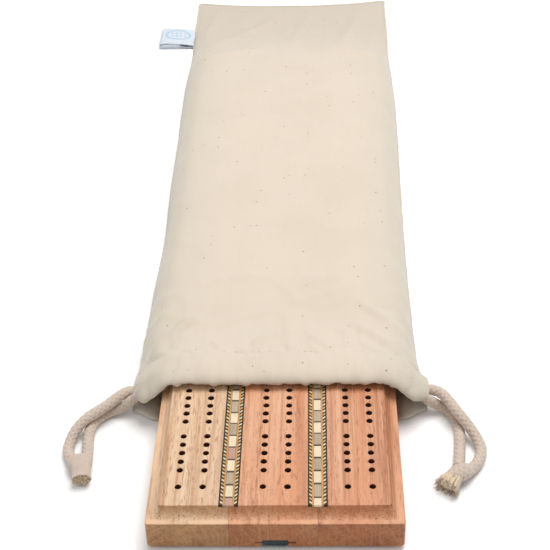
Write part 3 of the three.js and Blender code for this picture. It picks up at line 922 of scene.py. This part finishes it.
def make_staves():
    blank = board_blank()
    edges = (-HALF_WIDTH - 5, *JOINTS, HALF_WIDTH + 5)
    for i, (side, material, slot) in enumerate((
            ("left", OAK_LEFT, "oak_light"), ("centre", OAK_CENTRE, "oak_pink"),
            ("right", OAK_RIGHT, "oak_warm"))):
        stave = link(f"oak_stave_{side}", blank.data.copy())
        combine(stave, "INTERSECT", box_cutter(
            (edges[i] + GLUE_GAP / 2, -HALF_LENGTH - PAST, UNDERSIDE - PAST),
            (edges[i + 1] - GLUE_GAP / 2, HALF_LENGTH + PAST, BOARD_TOP + PAST)))
        half = BAND_WIDTH / 2 + GLUE_GAP
        for joint in JOINTS:
            if joint in edges[i:i + 2]:
                combine(stave, "DIFFERENCE", box_cutter(
                    (joint - half, -HALF_LENGTH - PAST, BOARD_TOP - GROOVE_DEPTH),
                    (joint + half, HALF_LENGTH + PAST, BOARD_TOP + 2)))
        combine(stave, "DIFFERENCE", drills(i - 1))
        if side == "centre":
            for cutter in compartment_cutters():
                combine(stave, "DIFFERENCE", cutter)
        # faces inside the drilled holes get the dark painted-shade wood
        stave.data.materials.clear()
        for finish in (material, HOLE_SHADE):
            stave.data.materials.append(finish)
        stave.data.polygons.foreach_set(
            "material_index", [int(in_a_hole(face.center / MM)) for face in stave.data.polygons])
        smooth(stave.data, 28)
        place(stave, "board", slot, f"stave_{side}")
    bpy.data.objects.remove(blank)


make_staves()


# ---------------------------------------------------------------- inlay bands

BAND_HALF = HALF_LENGTH - COVE_WIDTH  # half the length of the board's flat top
STRIP_LOW, STRIP_TOP = BOARD_TOP - 1, BOARD_TOP + 0.02
SLIP_PITCH, SLIP_SLANT = 1.02, 0.8    # of the slanted slips in a rope strip
PALE_CELL, GREY_CELL, RUNG_LENGTH = 6.15, 6.5, 0.8
# how far each strip's two sides move from an even lay, over the band from outside to inside
STRIP_TRIM = {"edge_outer": (0, -0.22), "rope_outer": (-0.22, -0.10), "gold_outer": (-0.10, 0.10),
              "ladder": (0.10, -0.10), "gold_inner": (-0.10, 0.10), "rope_inner": (0.10, 0.22),
              "edge_inner": (0.22, 0)}


def plain_strip(x0, x1):
    """One veneer, laid in lengths that butt end to end."""
    parts, y = Parts(), -BAND_HALF
    while y < BAND_HALF - 1:
        end = min(y + 47.2, BAND_HALF)
        parts.add(*eased_box((x0, y, STRIP_LOW), (x1, end, STRIP_TOP), 0.03))
        y = end
    return parts


def rope_strip(x0, x1, lean):
    """Slanted slips of dark and pale wood, set side by side."""
    parts, y, i = Parts(), -BAND_HALF, 0
    shift = SLIP_SLANT * lean / 2
    while y < BAND_HALF - 0.2:
        end = min(y + SLIP_PITCH, BAND_HALF)
        outline = [(x, clamp(corner, -BAND_HALF, BAND_HALF)) for x, corner in (
            (x0, y - shift), (x1, y + shift), (x1, end + shift), (x0, end - shift))]
        parts.add(*eased_prism(outline, STRIP_LOW, STRIP_TOP, 0.02), slot=(0, 1, 0, 2)[i % 4])
        y, i = end, i + 1
    return parts


def ladder_strip(x0, x1, first, starts_pale):
    """Pale and grey cells in turn, parted by thin dark rungs."""
    parts = Parts()
    rng = random.Random(5 if starts_pale else 9)
    y, i, end = -BAND_HALF, 0, -BAND_HALF + first
    while y < BAND_HALF - 0.3:
        end = min(end, BAND_HALF)
        pale = (i % 2 == 0) == starts_pale
        slot = 0 if pale else (2 if rng.random() < 0.12 or (i == 0 and not starts_pale) else 1)
        parts.add(*eased_box((x0, y, STRIP_LOW), (x1, end, STRIP_TOP), 0.03), slot=slot)
        y = end
        rung = min(y + RUNG_LENGTH + rng.uniform(-0.3, 0.3), BAND_HALF)
        if rung > y + 0.1:
            parts.add(*eased_box((x0, y, STRIP_LOW), (x1, rung, STRIP_TOP - 0.01), 0.02), slot=3)
        y, i = rung, i + 1
        end = y + (PALE_CELL if (i % 2 == 0) == starts_pale else GREY_CELL)
        end += rng.uniform(-0.2, 0.2)
    return parts


def make_bands():
    for side in ("left", "right"):
        for layer, (before, after) in STRIP_TRIM.items():
            (x0, _, _), (x1, _, _) = box_mm(f"band_{side}_{layer}")
            x0, x1 = (x0 + before, x1 + after) if side == "left" else (x0 - after, x1 - before)
            if "rope" in layer:
                parts = rope_strip(x0, x1, -1 if ("outer" in layer) == (side == "left") else 1)
                slot, woods = "band_rope", [ROPE_DARK, ROPE_PALE, ROPE_GOLD]
            elif layer == "ladder":
                parts = ladder_strip(x0, x1, 4.0 if side == "left" else 3.8, side == "right")
                slot, woods = "band_ladder", [MAPLE, GREYWOOD, REDWOOD, RUNG]
            else:
                parts = plain_strip(x0, x1)
                slot, woods = (("band_ebony", [EBONY]) if "edge" in layer
                               else ("band_gold", [GOLD]))
            place(parts.piece(f"inlay_{side}_{layer}", woods), "board", slot,
                  f"band_{side}_{layer}")


make_bands()


# ---------------------------------------------------------------- cover and pegs

def make_cover():
    """A sheet-steel slide, its front end folded down into a pull with a rounded bend."""
    low, high = box_mm("compartment_cover")
    front, foot = low[1:]
    plate = UNDERSIDE + 2.3  # the sheet's lower face
    half = 4.9
    parts = Parts().add(*eased_box((low[0], front + 0.3, plate), (*high[:2], plate + 0.6), 0.12))
    section = [(0.9, plate + 0.59), (0.35, plate + 0.52), (0.08, plate + 0.3), (0, plate),
               (0, foot + 0.15), (0.15, foot), (0.5, foot), (0.6, foot + 0.12),
               (0.6, plate - 0.15), (0.75, plate + 0.01), (0.9, plate + 0.01)]
    parts.add([(x, front + y, z) for x in (-half, half) for y, z in section],
              tube_faces(2, len(section)))
    # upper edge of the fold, which stops against the doorway
    parts.add(*eased_box((-half, front, plate + 0.2), (half, front + 0.6, high[2]), 0.12))

    def rib(i, angle):
        return 0.3 * cos(angle), (0.22 if 0 < i < 4 else 0.05) * sin(angle)

    for step in range(3):  # pressed thumb ribs across the plate
        y = front + 5 + 1.6 * step
        parts.add(*sweep([Vector((x, y, plate + 0.02)) for x in (-3.4, -1.5, 0, 1.5, 3.4)], rib, 8))
    place(parts.piece("steel_cover", [STEEL_SHEET]), "cover", "steel_sheet", "compartment_cover")


def make_pegs():
    """Turned pegs: tapered point, plain shank, two grooves and a domed head."""
    profile = [(0.0, 0.0), (0.42, 0.05), (0.68, 0.28), (1.12, 1.35), (1.17, 1.9), (1.17, 9.0),
               (1.18, 17.0), (1.17, 18.1), (0.98, 18.3), (0.98, 18.6), (1.17, 18.8), (1.17, 19.4),
               (0.98, 19.6), (0.98, 19.9), (1.17, 20.1), (1.2, 20.6), (1.42, 21.2), (1.58, 21.6),
               (1.6, 21.9), (1.6, 23.9), (1.53, 24.6), (1.36, 25.2), (1.05, 25.65), (0.6, 25.92),
               (0.0, 26.0)]
    for finish, material in PEG_METALS.items():
        for node in (f"peg_{finish}_{number}" for number in (1, 2, 3)):
            low, high = box_mm(node)
            x, z = ((low[i] + high[i]) / 2 for i in (0, 2))
            points, faces = turned(profile, lambda radius, along, angle: (
                x + radius * cos(angle), low[1] + along, z + radius * sin(angle)), 32)
            peg = outward(mesh_piece(f"turned_{node}", points, faces, [material], sharp=42.0))
            place(peg, "board", f"peg_{finish}", node)


make_cover()
make_pegs()


# ---------------------------------------------------------------- bag

SHEET = 0.45            # thickness of the visible cloth
BAG_HALF_WIDTH = 64.8
BAG_END = 320.0
CASING_Y = -111.3       # middle of the upper hem
PANEL_FRONT = -104.0    # where the upper cloth turns into its hem
LOWER_FRONT = -104.6    # where the lower cloth ends in its hem
FOOT = 0.95             # height of the side seams' middle
COLUMNS = 121           # points across the upper cloth
ARCH = ((1, 0), (0.985, 0.27), (0.94, 0.62), (0.87, 0.88), (0.79, 0.985), (0.6, 1), (0.3, 1))
CASING_PATH = ((-63.7, 9), (-60.2, 12.4), (-56.2, 17.2), (-51.5, 21.4), (-45, 23.1), (-30, 23.1),
               (0, 23.1), (30, 23.1), (45, 23.1), (51.5, 21.4), (56.2, 17.2), (60.2, 12.4),
               (63.7, 9))
CASING_LINE = spline([(x, 0, z) for x, z in CASING_PATH], 10)

# raised soft folds in the cloth: start, end, height, half width
FOLDS = (
    ((-56, -97), (-38, -70), 1.0, 2.0), ((-60, -84), (-50, -62), 0.7, 2.2),
    ((-47, -97), (-42, -86), 0.6, 1.5), ((52, -98), (32, -76), 0.9, 2.2),
    ((58, -84), (36, -58), 0.7, 2.4), ((40, -99), (36, -92), 0.5, 1.4),
    ((-34, -42), (-10, -36), 0.55, 1.3), ((-12, -98), (-5, -86), 0.6, 1.5),
    ((22, -99), (14, -86), 0.6, 1.6), ((-26, -99), (-30, -90), 0.6, 1.4),
    ((6, -100), (3, -93), 0.5, 1.3), ((2, -60), (34, -46), 0.28, 3.0),
    ((-50, 20), (-20, 48), 0.25, 5.0), ((20, 90), (52, 130), 0.28, 5.5),
    ((-40, 150), (10, 176), 0.25, 5.0), ((-56, 196), (-20, 214), 0.8, 4.5),
    ((56, 198), (18, 216), 0.8, 4.5), ((-48, 226), (-6, 300), 0.8, 5.0),
    ((34, 222), (48, 306), 0.9, 5.0), ((2, 232), (14, 312), 0.6, 4.0),
    ((-58, 240), (-50, 312), 0.6, 3.5),
)
# small dents where the drawcord gathers the hem: across, round the hem, depth, size
PUCKERS = (
    (-42.5, 0.62, 0.85, 1.7), (-39.0, 0.66, 0.6, 1.4), (-27.5, 0.60, 0.8, 1.6),
    (-24.6, 0.68, 0.5, 1.3), (-12.5, 0.60, 0.8, 1.9), (-8.6, 0.66, 0.6, 1.5),
    (3.0, 0.64, 0.45, 2.2), (12.8, 0.61, 0.8, 1.7), (16.2, 0.68, 0.5, 1.4),
    (22.4, 0.60, 0.65, 2.4), (29.0, 0.66, 0.5, 1.8), (38.0, 0.62, 0.5, 2.0),
    (-52.0, 0.60, 0.5, 2.2), (49.5, 0.62, 0.5, 2.4),
)
# the hem's closed loop round the drawcord, as (along Y, off the cloth) from its middle
HEM_LOOP = ((9.3, 1.85), (8.0, 2.1), (6.4, 2.35), (4.5, 2.52), (2.4, 2.62), (0.1, 2.65),
            (-2.2, 2.6), (-4.8, 2.2), (-6.9, 1.3), (-8.2, 0.0), (-8.3, -1.0), (-7.0, -1.8),
            (-5.0, -2.3), (-2.5, -2.7), (0, -2.8), (3.5, -2.8), (6.0, -2.2), (7.8, -0.7),
            (9.0, 1.2))
HEM_BACK, HEM_RISE = HEM_LOOP[0]
# each end of the hem: how far its front lip hangs forward and down, how much the end narrows,
# and how far it is drawn in
LOBES = {-1: (1.6, 2.2, 0.36, 0.4), 1: (1.0, 1.0, 0.26, -0.8)}


def cloth_height(y):
    """Middle of the upper cloth over the board, then falling to the lower cloth."""
    over_board, flat = 19.72, 1.75
    height = flat + (over_board - flat) * fall(y, 184.0, 292.0)
    return lerp(height, 1.15, smoothstep(y, 306.0, BAG_END))


def mouth_share(y):
    """0 on the flat bag, growing to 1 where the cloth meets the hem."""
    return clamp((-62 - y) / 41.5)


def edge_x(y, side):
    """Where the side seam lies: drawn in a little beside the board, and wandering."""
    wander = 0.22 * perlin(y * 0.021, side * 3.1) + 0.2 * perlin(y * 0.07, side * 7.7)
    pinch = 1.3 * bell((y - 232) / 26)
    if side > 0:
        return BAG_HALF_WIDTH - 3.1 * fall(y, -10, 170) - 0.8 * pinch + wander
    near = fall(y, 110, 190)
    return BAG_HALF_WIDTH - 0.9 * near - 1.5 * bell((y - 18) / 40) - pinch + wander


def drawn_back(x, y):
    """y, pulled in near the closed end, whose edge bows inwards."""
    dip = 6.5 * (1 - clamp(abs(x) / BAG_HALF_WIDTH) ** 2.2) + 0.8 * perlin(x * 0.05, 4.4)
    return y - dip * smoothstep(y, 250, BAG_END)


def arch_section(y):
    """The upper cloth's cross-section at y."""
    rise = cloth_height(y) - FOOT
    left = [(-across * edge_x(y, -1), 0, FOOT + up * rise) for across, up in ARCH]
    right = [(across * edge_x(y, 1), 0, FOOT + up * rise) for across, up in reversed(ARCH)]
    return resample(spline(left + right, 8), COLUMNS)


def fold_height(x, y):
    total = 0.0
    for start, end, height, width in FOLDS:
        spot, along = Vector((x, y)) - Vector(start), Vector(end) - Vector(start)
        t = spot.dot(along) / along.length_squared
        if -0.25 < t < 1.25:
            ends = smoothstep(t, -0.2, 0.25) * fall(t, 0.7, 1.2)
            total += height * ends * bell((spot - along * t).length / width)
    return total


def cloth_relief(x, y):
    """How far the cloth stands off its plain loft."""
    crumple = abs(perlin(x * 0.035, y * 0.022, 2.0)) * 0.9
    crumple += 0.35 * abs(perlin(x * 0.09, y * 0.05, 5.0))
    gathers = fall(y, -104, -62) * (0.55 * perlin(x * 0.16 + y * 0.03, y * 0.02, 8.0)
                                    + 0.22 * perlin(x * 0.42, y * 0.05, 9.0))
    loose = smoothstep(y, 205, 240) * (0.75 * perlin(x * 0.085, y * 0.018, 3.0) + 0.4)
    worked = 0.25 + 0.75 * fall(y, -100, -10)  # most in the part that hands draw shut
    worked *= smoothstep(y, -103, -88)
    crease = 0.0
    for depth, spot in ((1.0, (x * 0.045 + y * 0.012, y * 0.030 - x * 0.01, 11.0)),
                        (0.6, (x * 0.03 - y * 0.03, y * 0.05, 15.0))):
        crease += depth * clamp(1 - 4.0 * abs(perlin(*spot))) ** 2
    return 0.8 * crumple + 2.0 * gathers + loose + 2.2 * fold_height(x, y) + 0.9 * worked * crease


def pucker(s, share):
    """How the gathered hem stands off its plain roll, s along the hem and share round it."""
    ripple = 0.75 * perlin(s * 0.15, share * 2.2, 1.0)
    ripple += 0.66 * perlin(s * 0.34 + share * 3, share * 1.5, 6.0)
    ripple += 0.28 * perlin(s * 0.8 + share * 5, share * 2.0, 12.0)
    for spot, around, depth, size in PUCKERS:
        gap = (s - spot - (share - around) * 9.0) / size
        near = bell((share - around) / 0.10)
        ripple += 1.4 * depth * near * (0.5 * bell(gap - 1.7) - 1.5 * bell(gap))
    return ripple


def thicken(obj, thickness=SHEET):
    modifier = obj.modifiers.new("thickness", "SOLIDIFY")
    modifier.thickness = thickness * MM
    modifier.offset = 0.0
    modifier.use_even_offset = True
    apply_modifiers(obj)
    smooth(obj.data, 55)
    return outward(obj)


def stations(start, stop, step):
    """Values from start down to stop."""
    values = []
    while start > stop:
        values.append(start)
        start -= step
    return values


def make_upper_cloth():
    """The upper panel and its hem, which turns under and closes round the drawcord."""
    casing = resample(CASING_LINE, COLUMNS)
    casing_normals = line_normals(casing, -Y_AXIS)
    across = run_lengths(casing)
    width = across[-1]
    offset = [s - width / 2 for s in across]

    def stand_off(i, x, y):
        share = abs(2 * i / (COLUMNS - 1) - 1)
        off = cloth_relief(x, y) * fall(share, 0.93, 1.0)
        return max(off * fall(y, 308, BAG_END), -0.1)

    rows = []
    for y in stations(BAG_END, PANEL_FRONT + 2.1, 2.1):
        arch = arch_section(y)
        mouth = mouth_share(y)
        row = []
        for i, (point, normal) in enumerate(zip(arch, line_normals(arch, -Y_AXIS))):
            if mouth > 0:
                target = casing[i] + casing_normals[i] * HEM_RISE
                settled = mouth ** 1.8
                point = Vector((lerp(point.x, target.x, mouth ** 3.5), 0,
                                lerp(point.z, target.z, settled)))
                normal = normal.lerp(casing_normals[i], settled).normalized()
            point = point + normal * stand_off(i, point.x, y)
            row.append(Vector((point.x, drawn_back(point.x, y), point.z)))
        rows.append(row)
    panel_rows = len(rows)

    loop = resample(spline([(0, a, b) for a, b in HEM_LOOP], 6), 62)
    for k, (section, out) in enumerate(zip(loop, line_normals(loop, X_AXIS))):
        share = k / (len(loop) - 1)
        panel_share = fall(share, 0.0, 0.22)
        roll = (1 - panel_share) * fall(share, 0.8, 0.97)
        row = []
        for i, (spot, normal) in enumerate(zip(casing, casing_normals)):
            reach = width / 2 - abs(offset[i])  # how far from the hem's end
            closing = fall(reach, 0, 12)
            side = 1 if offset[i] > 0 else -1
            forward, down, narrowing, drawn_in = LOBES[side]
            narrow = 1 - narrowing * max(0.0, 1 - reach / 6.0) ** 1.3
            ripple = pucker(offset[i], share) * roll * (1 - 0.5 * closing)
            ripple += stand_off(i, spot.x, -103.0) * panel_share
            y = HEM_BACK + (section.y + out.y * ripple - HEM_BACK) * narrow
            point = spot + normal * (section.z * (1 - 0.25 * closing) + out.z * ripple)
            hang = smoothstep(-y, 1.0, 6.0) * bell((reach - 13.0) / 6.0)
            inward = -side * drawn_in * max(0.0, 1 - reach / 5.0)
            row.append(Vector((point.x + inward, CASING_Y + y - forward * hang,
                               point.z - down * hang)))
        rows.append(row)

    lengths = run_lengths([row[COLUMNS // 2] for row in rows])
    cloth = mesh_piece("bag_upper_cloth", [p for row in rows for p in row],
                       grid_faces(len(rows), COLUMNS), [COTTON], sharp=None,
                       uvs=[(s, length) for length in lengths for s in offset])
    thicken(cloth)
    place(cloth, "bag", "cotton_cloth", "bag_upper_panel", "bag_upper_casing")
    return rows, panel_rows


def make_stitches(rows, panel_rows):
    """Lock stitches that close the hem behind the drawcord."""
    parts = Parts()
    line = resample([(a + b) / 2 for a, b in zip(*rows[panel_rows - 1:panel_rows + 1])], 57)
    normals = line_normals(line, -Y_AXIS)
    for start, end, normal in list(zip(line, line[1:], normals))[1:]:
        a, b = (start + (end - start) * share for share in (0.10, 0.84))
        sunk = normal * (SHEET / 2 - 0.10) * 0.5
        middle = (a + b) / 2 + normal * (SHEET / 2 + 0.04)
        stitch = resample(spline([a + sunk, middle, b + sunk], 4), 7)
        parts.add(*sweep(stitch, lambda _, angle: (0.14 * cos(angle), 0.11 * sin(angle)), 8))
    place(parts.piece("bag_hem_stitches", [THREAD], sharp=60.0), "bag", "cotton_cloth")


def lower_height(x, y):
    """Middle of the lower cloth above the table."""
    beside = smoothstep(abs(x), 50.5, 54.0) * fall(abs(x), 61.0, 64.6)
    puff = beside * (0.25 + 0.3 * abs(perlin(x * 0.1, y * 0.04, 3.3))) * fall(y, 190, 250)
    return 0.36 + 0.05 * perlin(x * 0.05, y * 0.05, 1.1) + puff


def make_lower_cloth():
    columns, points, uvs = 72, [], []
    rows = stations(BAG_END, -104.3, 4.0) + [LOWER_FRONT]
    for y in rows:
        for i in range(columns):
            share = 2 * i / (columns - 1) - 1
            x = share * (edge_x(y, 1 if share > 0 else -1) - 0.15)
            rise = smoothstep(abs(share), 0.985, 1.0) * 0.3
            rise += smoothstep(abs(share), 0.92, 1.0) * 7.6 * mouth_share(y) ** 1.8
            points.append((x, drawn_back(x, y), lower_height(x, y) + rise))
            uvs.append((x, y))
    cloth = mesh_piece("bag_lower_cloth", points, grid_faces(len(rows), columns), [COTTON_SHADE],
                       sharp=None, uvs=uvs)
    thicken(cloth)
    place(cloth, "bag", "cotton_cloth", "bag_lower_panel")


def make_lower_hem():
    """The lower hem: pressed flat under the board, rolled and puckered where it comes out."""
    columns, sides, half = 131, 30, 65.4
    points, uvs = [], []
    for i in range(columns):
        x = (2 * i / (columns - 1) - 1) * half
        side = abs(x)
        height = lerp(0.72, 3.3, smoothstep(side, 51.2, 55.5)) + 0.35 * smoothstep(side, 55, 60)
        height = lerp(height, 2.3, smoothstep(side, 61, half))
        height += smoothstep(side, 52, 56) * 0.5 * perlin(x * 0.35, 2.0, 1.0)
        front = -119.3 + 5.8 * smoothstep(side, 55, half) + 0.4 * perlin(x * 0.2, 5.0)
        back = -104.7
        for k in range(sides):
            cy, cz = cos(tau * k / sides), sin(tau * k / sides)
            y = (front + back) / 2 + (back - front) / 2 * copysign(abs(cy) ** 0.75, cy)
            z = 0.06 + height / 2 + (height / 2 - 0.03) * copysign(abs(cz) ** 0.8, cz)
            ripple = smoothstep(side, 53, 57) * max(cz, 0) * 0.35
            z += ripple * perlin(x * 0.5 + cy * 2, cy * 2.0, 4.0)
            points.append((x, y, max(z, 0.05)))
            uvs.append((x, y + 3 * cz))
    hem = outward(mesh_piece("bag_lower_hem", points, tube_faces(columns, sides), [COTTON_SHADE],
                             sharp=50.0, uvs=uvs))
    place(hem, "bag", "cotton_cloth", "bag_lower_casing")


def make_seam(rows, panel_rows):
    """The sewn edge up one side, across the closed end and down the other side."""
    left, right = ([row[column] for row in rows[:panel_rows - 2:3]] for column in (0, -1))
    line = resample(spline(left[::-1] + rows[0][4:-4:5] + right, 5), 520)
    sides = 12

    def ring(i, angle):
        lump = 1 + 0.12 * perlin(i * 0.35, 3.0) + 0.06 * sin(i * 1.9)
        lump *= min(1.0, (i + 1) / 12, (len(line) - i) / 12)  # tapered at both ends
        return 0.95 * lump * cos(angle), 0.78 * lump * sin(angle)

    points, faces = sweep(line, ring, sides)
    uvs = [(i // sides * 2.0, i % sides * 0.45) for i in range(len(points))]
    seam = outward(mesh_piece("bag_seam", points, faces, [COTTON], sharp=None, uvs=uvs))
    place(seam, "bag", "cotton_cloth")


def make_casing_runs():
    """The two lengths of cord side by side in the upper hem, each run on into its strands."""
    path = resample(CASING_LINE, 80)
    for seed, (run, lay, shift) in enumerate((("front", "under", -2.5), ("back", "over", 2.5))):
        route = [(p.x, CASING_Y + shift, p.z) for p in path[::5] + [path[-1]]]
        route = (STRANDS["drawcord_left_" + lay][1::-1] + route
                 + STRANDS["drawcord_right_" + lay][:2])
        cord, _, _ = braided(f"cord_run_{run}", route, diameter=CORD_DIAMETER, sides=24,
                             step=0.6, seed=20.0 + seed)
        place(cord, "bag", "cotton_cord", f"drawcord_run_{run}")


LABEL_FRONT, LABEL_WIDTH = 250.8, 23.2


def label_material():
    """White ribbon with a plain woven ornament: an oval ring round small lozenges."""
    s = Shader("label_ribbon", seed=3.0, roughness=0.75)
    x, y, _ = s.split(s.position)

    def waves(value, pace):
        return s.maths("SINE", s.mul(value, pace))

    weave = s.mul(waves(y, tau / 0.55), waves(x, tau / 0.4))
    cloud = s.noise((0.3, 0.3, 0.3))
    shadow = seen(200, 208, 220)
    out_x = s.mul(s.add(x, 76.0), 1 / 8.6)
    out_y = s.mul(s.add(y, -264.5), 1 / 7.2)
    radius = s.maths("SQRT", s.add(s.mul(out_x, out_x), s.mul(out_y, out_y)))
    ring = s.range(s.absolute(s.add(radius, -0.92)), 0.13, 0.05)
    lozenge = s.add(s.absolute(waves(x, 1.1)), s.absolute(waves(y, 0.8)))
    filling = s.mul(s.range(lozenge, 1.05, 0.85), s.range(radius, 0.78, 0.70))
    s.surface("Base Color", s.layers(
        seen(226, 234, 242), (s.range(weave, -1, 1, 0.25, 0.0), shadow),
        (s.range(cloud, 0.4, 0.7, 0.0, 0.3), shadow),
        (s.mul(s.maths("MAXIMUM", ring, filling), 0.7), seen(150, 198, 222))))
    s.bump(weave, 0.4, 0.04)
    return s.material


def make_label():
    """A folded ribbon tab, caught in the left seam."""
    ribbon = label_material()
    middle = [(-64.9, 1.2), (-72, 0.75), (-80, 0.55), (-85.6, 0.6), (-87.2, 1.1), (-87.8, 2.1),
              (-87.3, 3.2), (-85.8, 4.0), (-80, 4.1), (-72, 3.5), (-64.9, 2.3)]
    line = resample(spline([(x, 0, z) for x, z in middle], 8), 60)
    across, points, uvs = 13, [], []
    for i, p in enumerate(line):
        for k in range(across):
            y = LABEL_FRONT + LABEL_WIDTH * k / (across - 1)
            curl = 0.25 * perlin(p.x * 0.12, y * 0.13, 1.0)
            points.append((p.x + 0.5 * perlin(y * 0.15, 3.0), y, max(p.z + curl, 0.3)))
            uvs.append((i * 0.8, y))
    tab = mesh_piece("bag_tab", points, grid_faces(len(line), across), [ribbon], sharp=None,
                     uvs=uvs)
    thicken(tab, 0.4)
    place(tab, "bag", "label_ribbon", "bag_label")
    # the ribbon's folded-in end fills the outer part of the loop
    outline = [(-87.3, 2.1), (-86.4, 1.2), (-80, 1.0), (-75.5, 1.1), (-70.5, 1.35), (-74.5, 2.3),
               (-73.5, 3.1), (-79, 3.6), (-85.6, 3.5)]
    steps = 10
    points = [(x + 0.4 * perlin(z, t * 2.0),
               LABEL_FRONT + 0.25 + (LABEL_WIDTH - 0.5) * t / (steps - 1), z)
              for t in range(steps) for x, z in outline]
    fold = Parts().add(points, tube_faces(steps, len(outline)))
    place(fold.piece("bag_tab_fold", [ribbon], sharp=60.0), "bag", "label_ribbon")


def make_bag():
    rows, panel_rows = make_upper_cloth()
    make_stitches(rows, panel_rows)
    make_lower_cloth()
    make_lower_hem()
    make_seam(rows, panel_rows)
    make_casing_runs()
    make_label()


make_bag()


# ---------------------------------------------------------------- studio

def floor_material():
    s = Shader("floor_paper", seed=1.0, roughness=0.9)
    cloud = s.noise((0.004, 0.004, 0.004))
    s.surface("Base Color", s.ramp(cloud, [(0.3, (0.90, 0.90, 0.90, 1)),
                                           (0.7, (0.92, 0.92, 0.92, 1))]))
    return s.material


def area_light(name, spot, size, power):
    """A round soft light, aimed at the frame's origin."""
    data = bpy.data.lights.new(name, "AREA")
    data.shape = "DISK"
    data.size = size
    data.energy = power
    lamp = link(name, data)
    lamp.location = spot
    lamp.rotation_euler = (-Vector(spot)).to_track_quat("-Z", "Y").to_euler()


def make_studio():
    reach = 6.0
    mesh = bpy.data.meshes.new("floor")
    mesh.from_pydata([(x * reach, y * reach, 0) for x, y in ((-1, -1), (1, -1), (1, 1), (-1, 1))],
                     [], [(0, 1, 2, 3)])
    mesh.materials.append(floor_material())
    link("floor", mesh)
    world = bpy.data.worlds.new("studio")
    world.use_nodes = True
    background = world.node_tree.nodes["Background"].inputs
    background["Color"].default_value = (1, 1, 1, 1)
    background["Strength"].default_value = 0.52
    scene.world = world
    area_light("key", (0.18, 0.18, 0.95), size=0.75, power=9.2)
    area_light("fill", (-0.5, -0.7, 1.1), size=1.2, power=2.3)
    scene.view_settings.view_transform = "Standard"


make_studio()
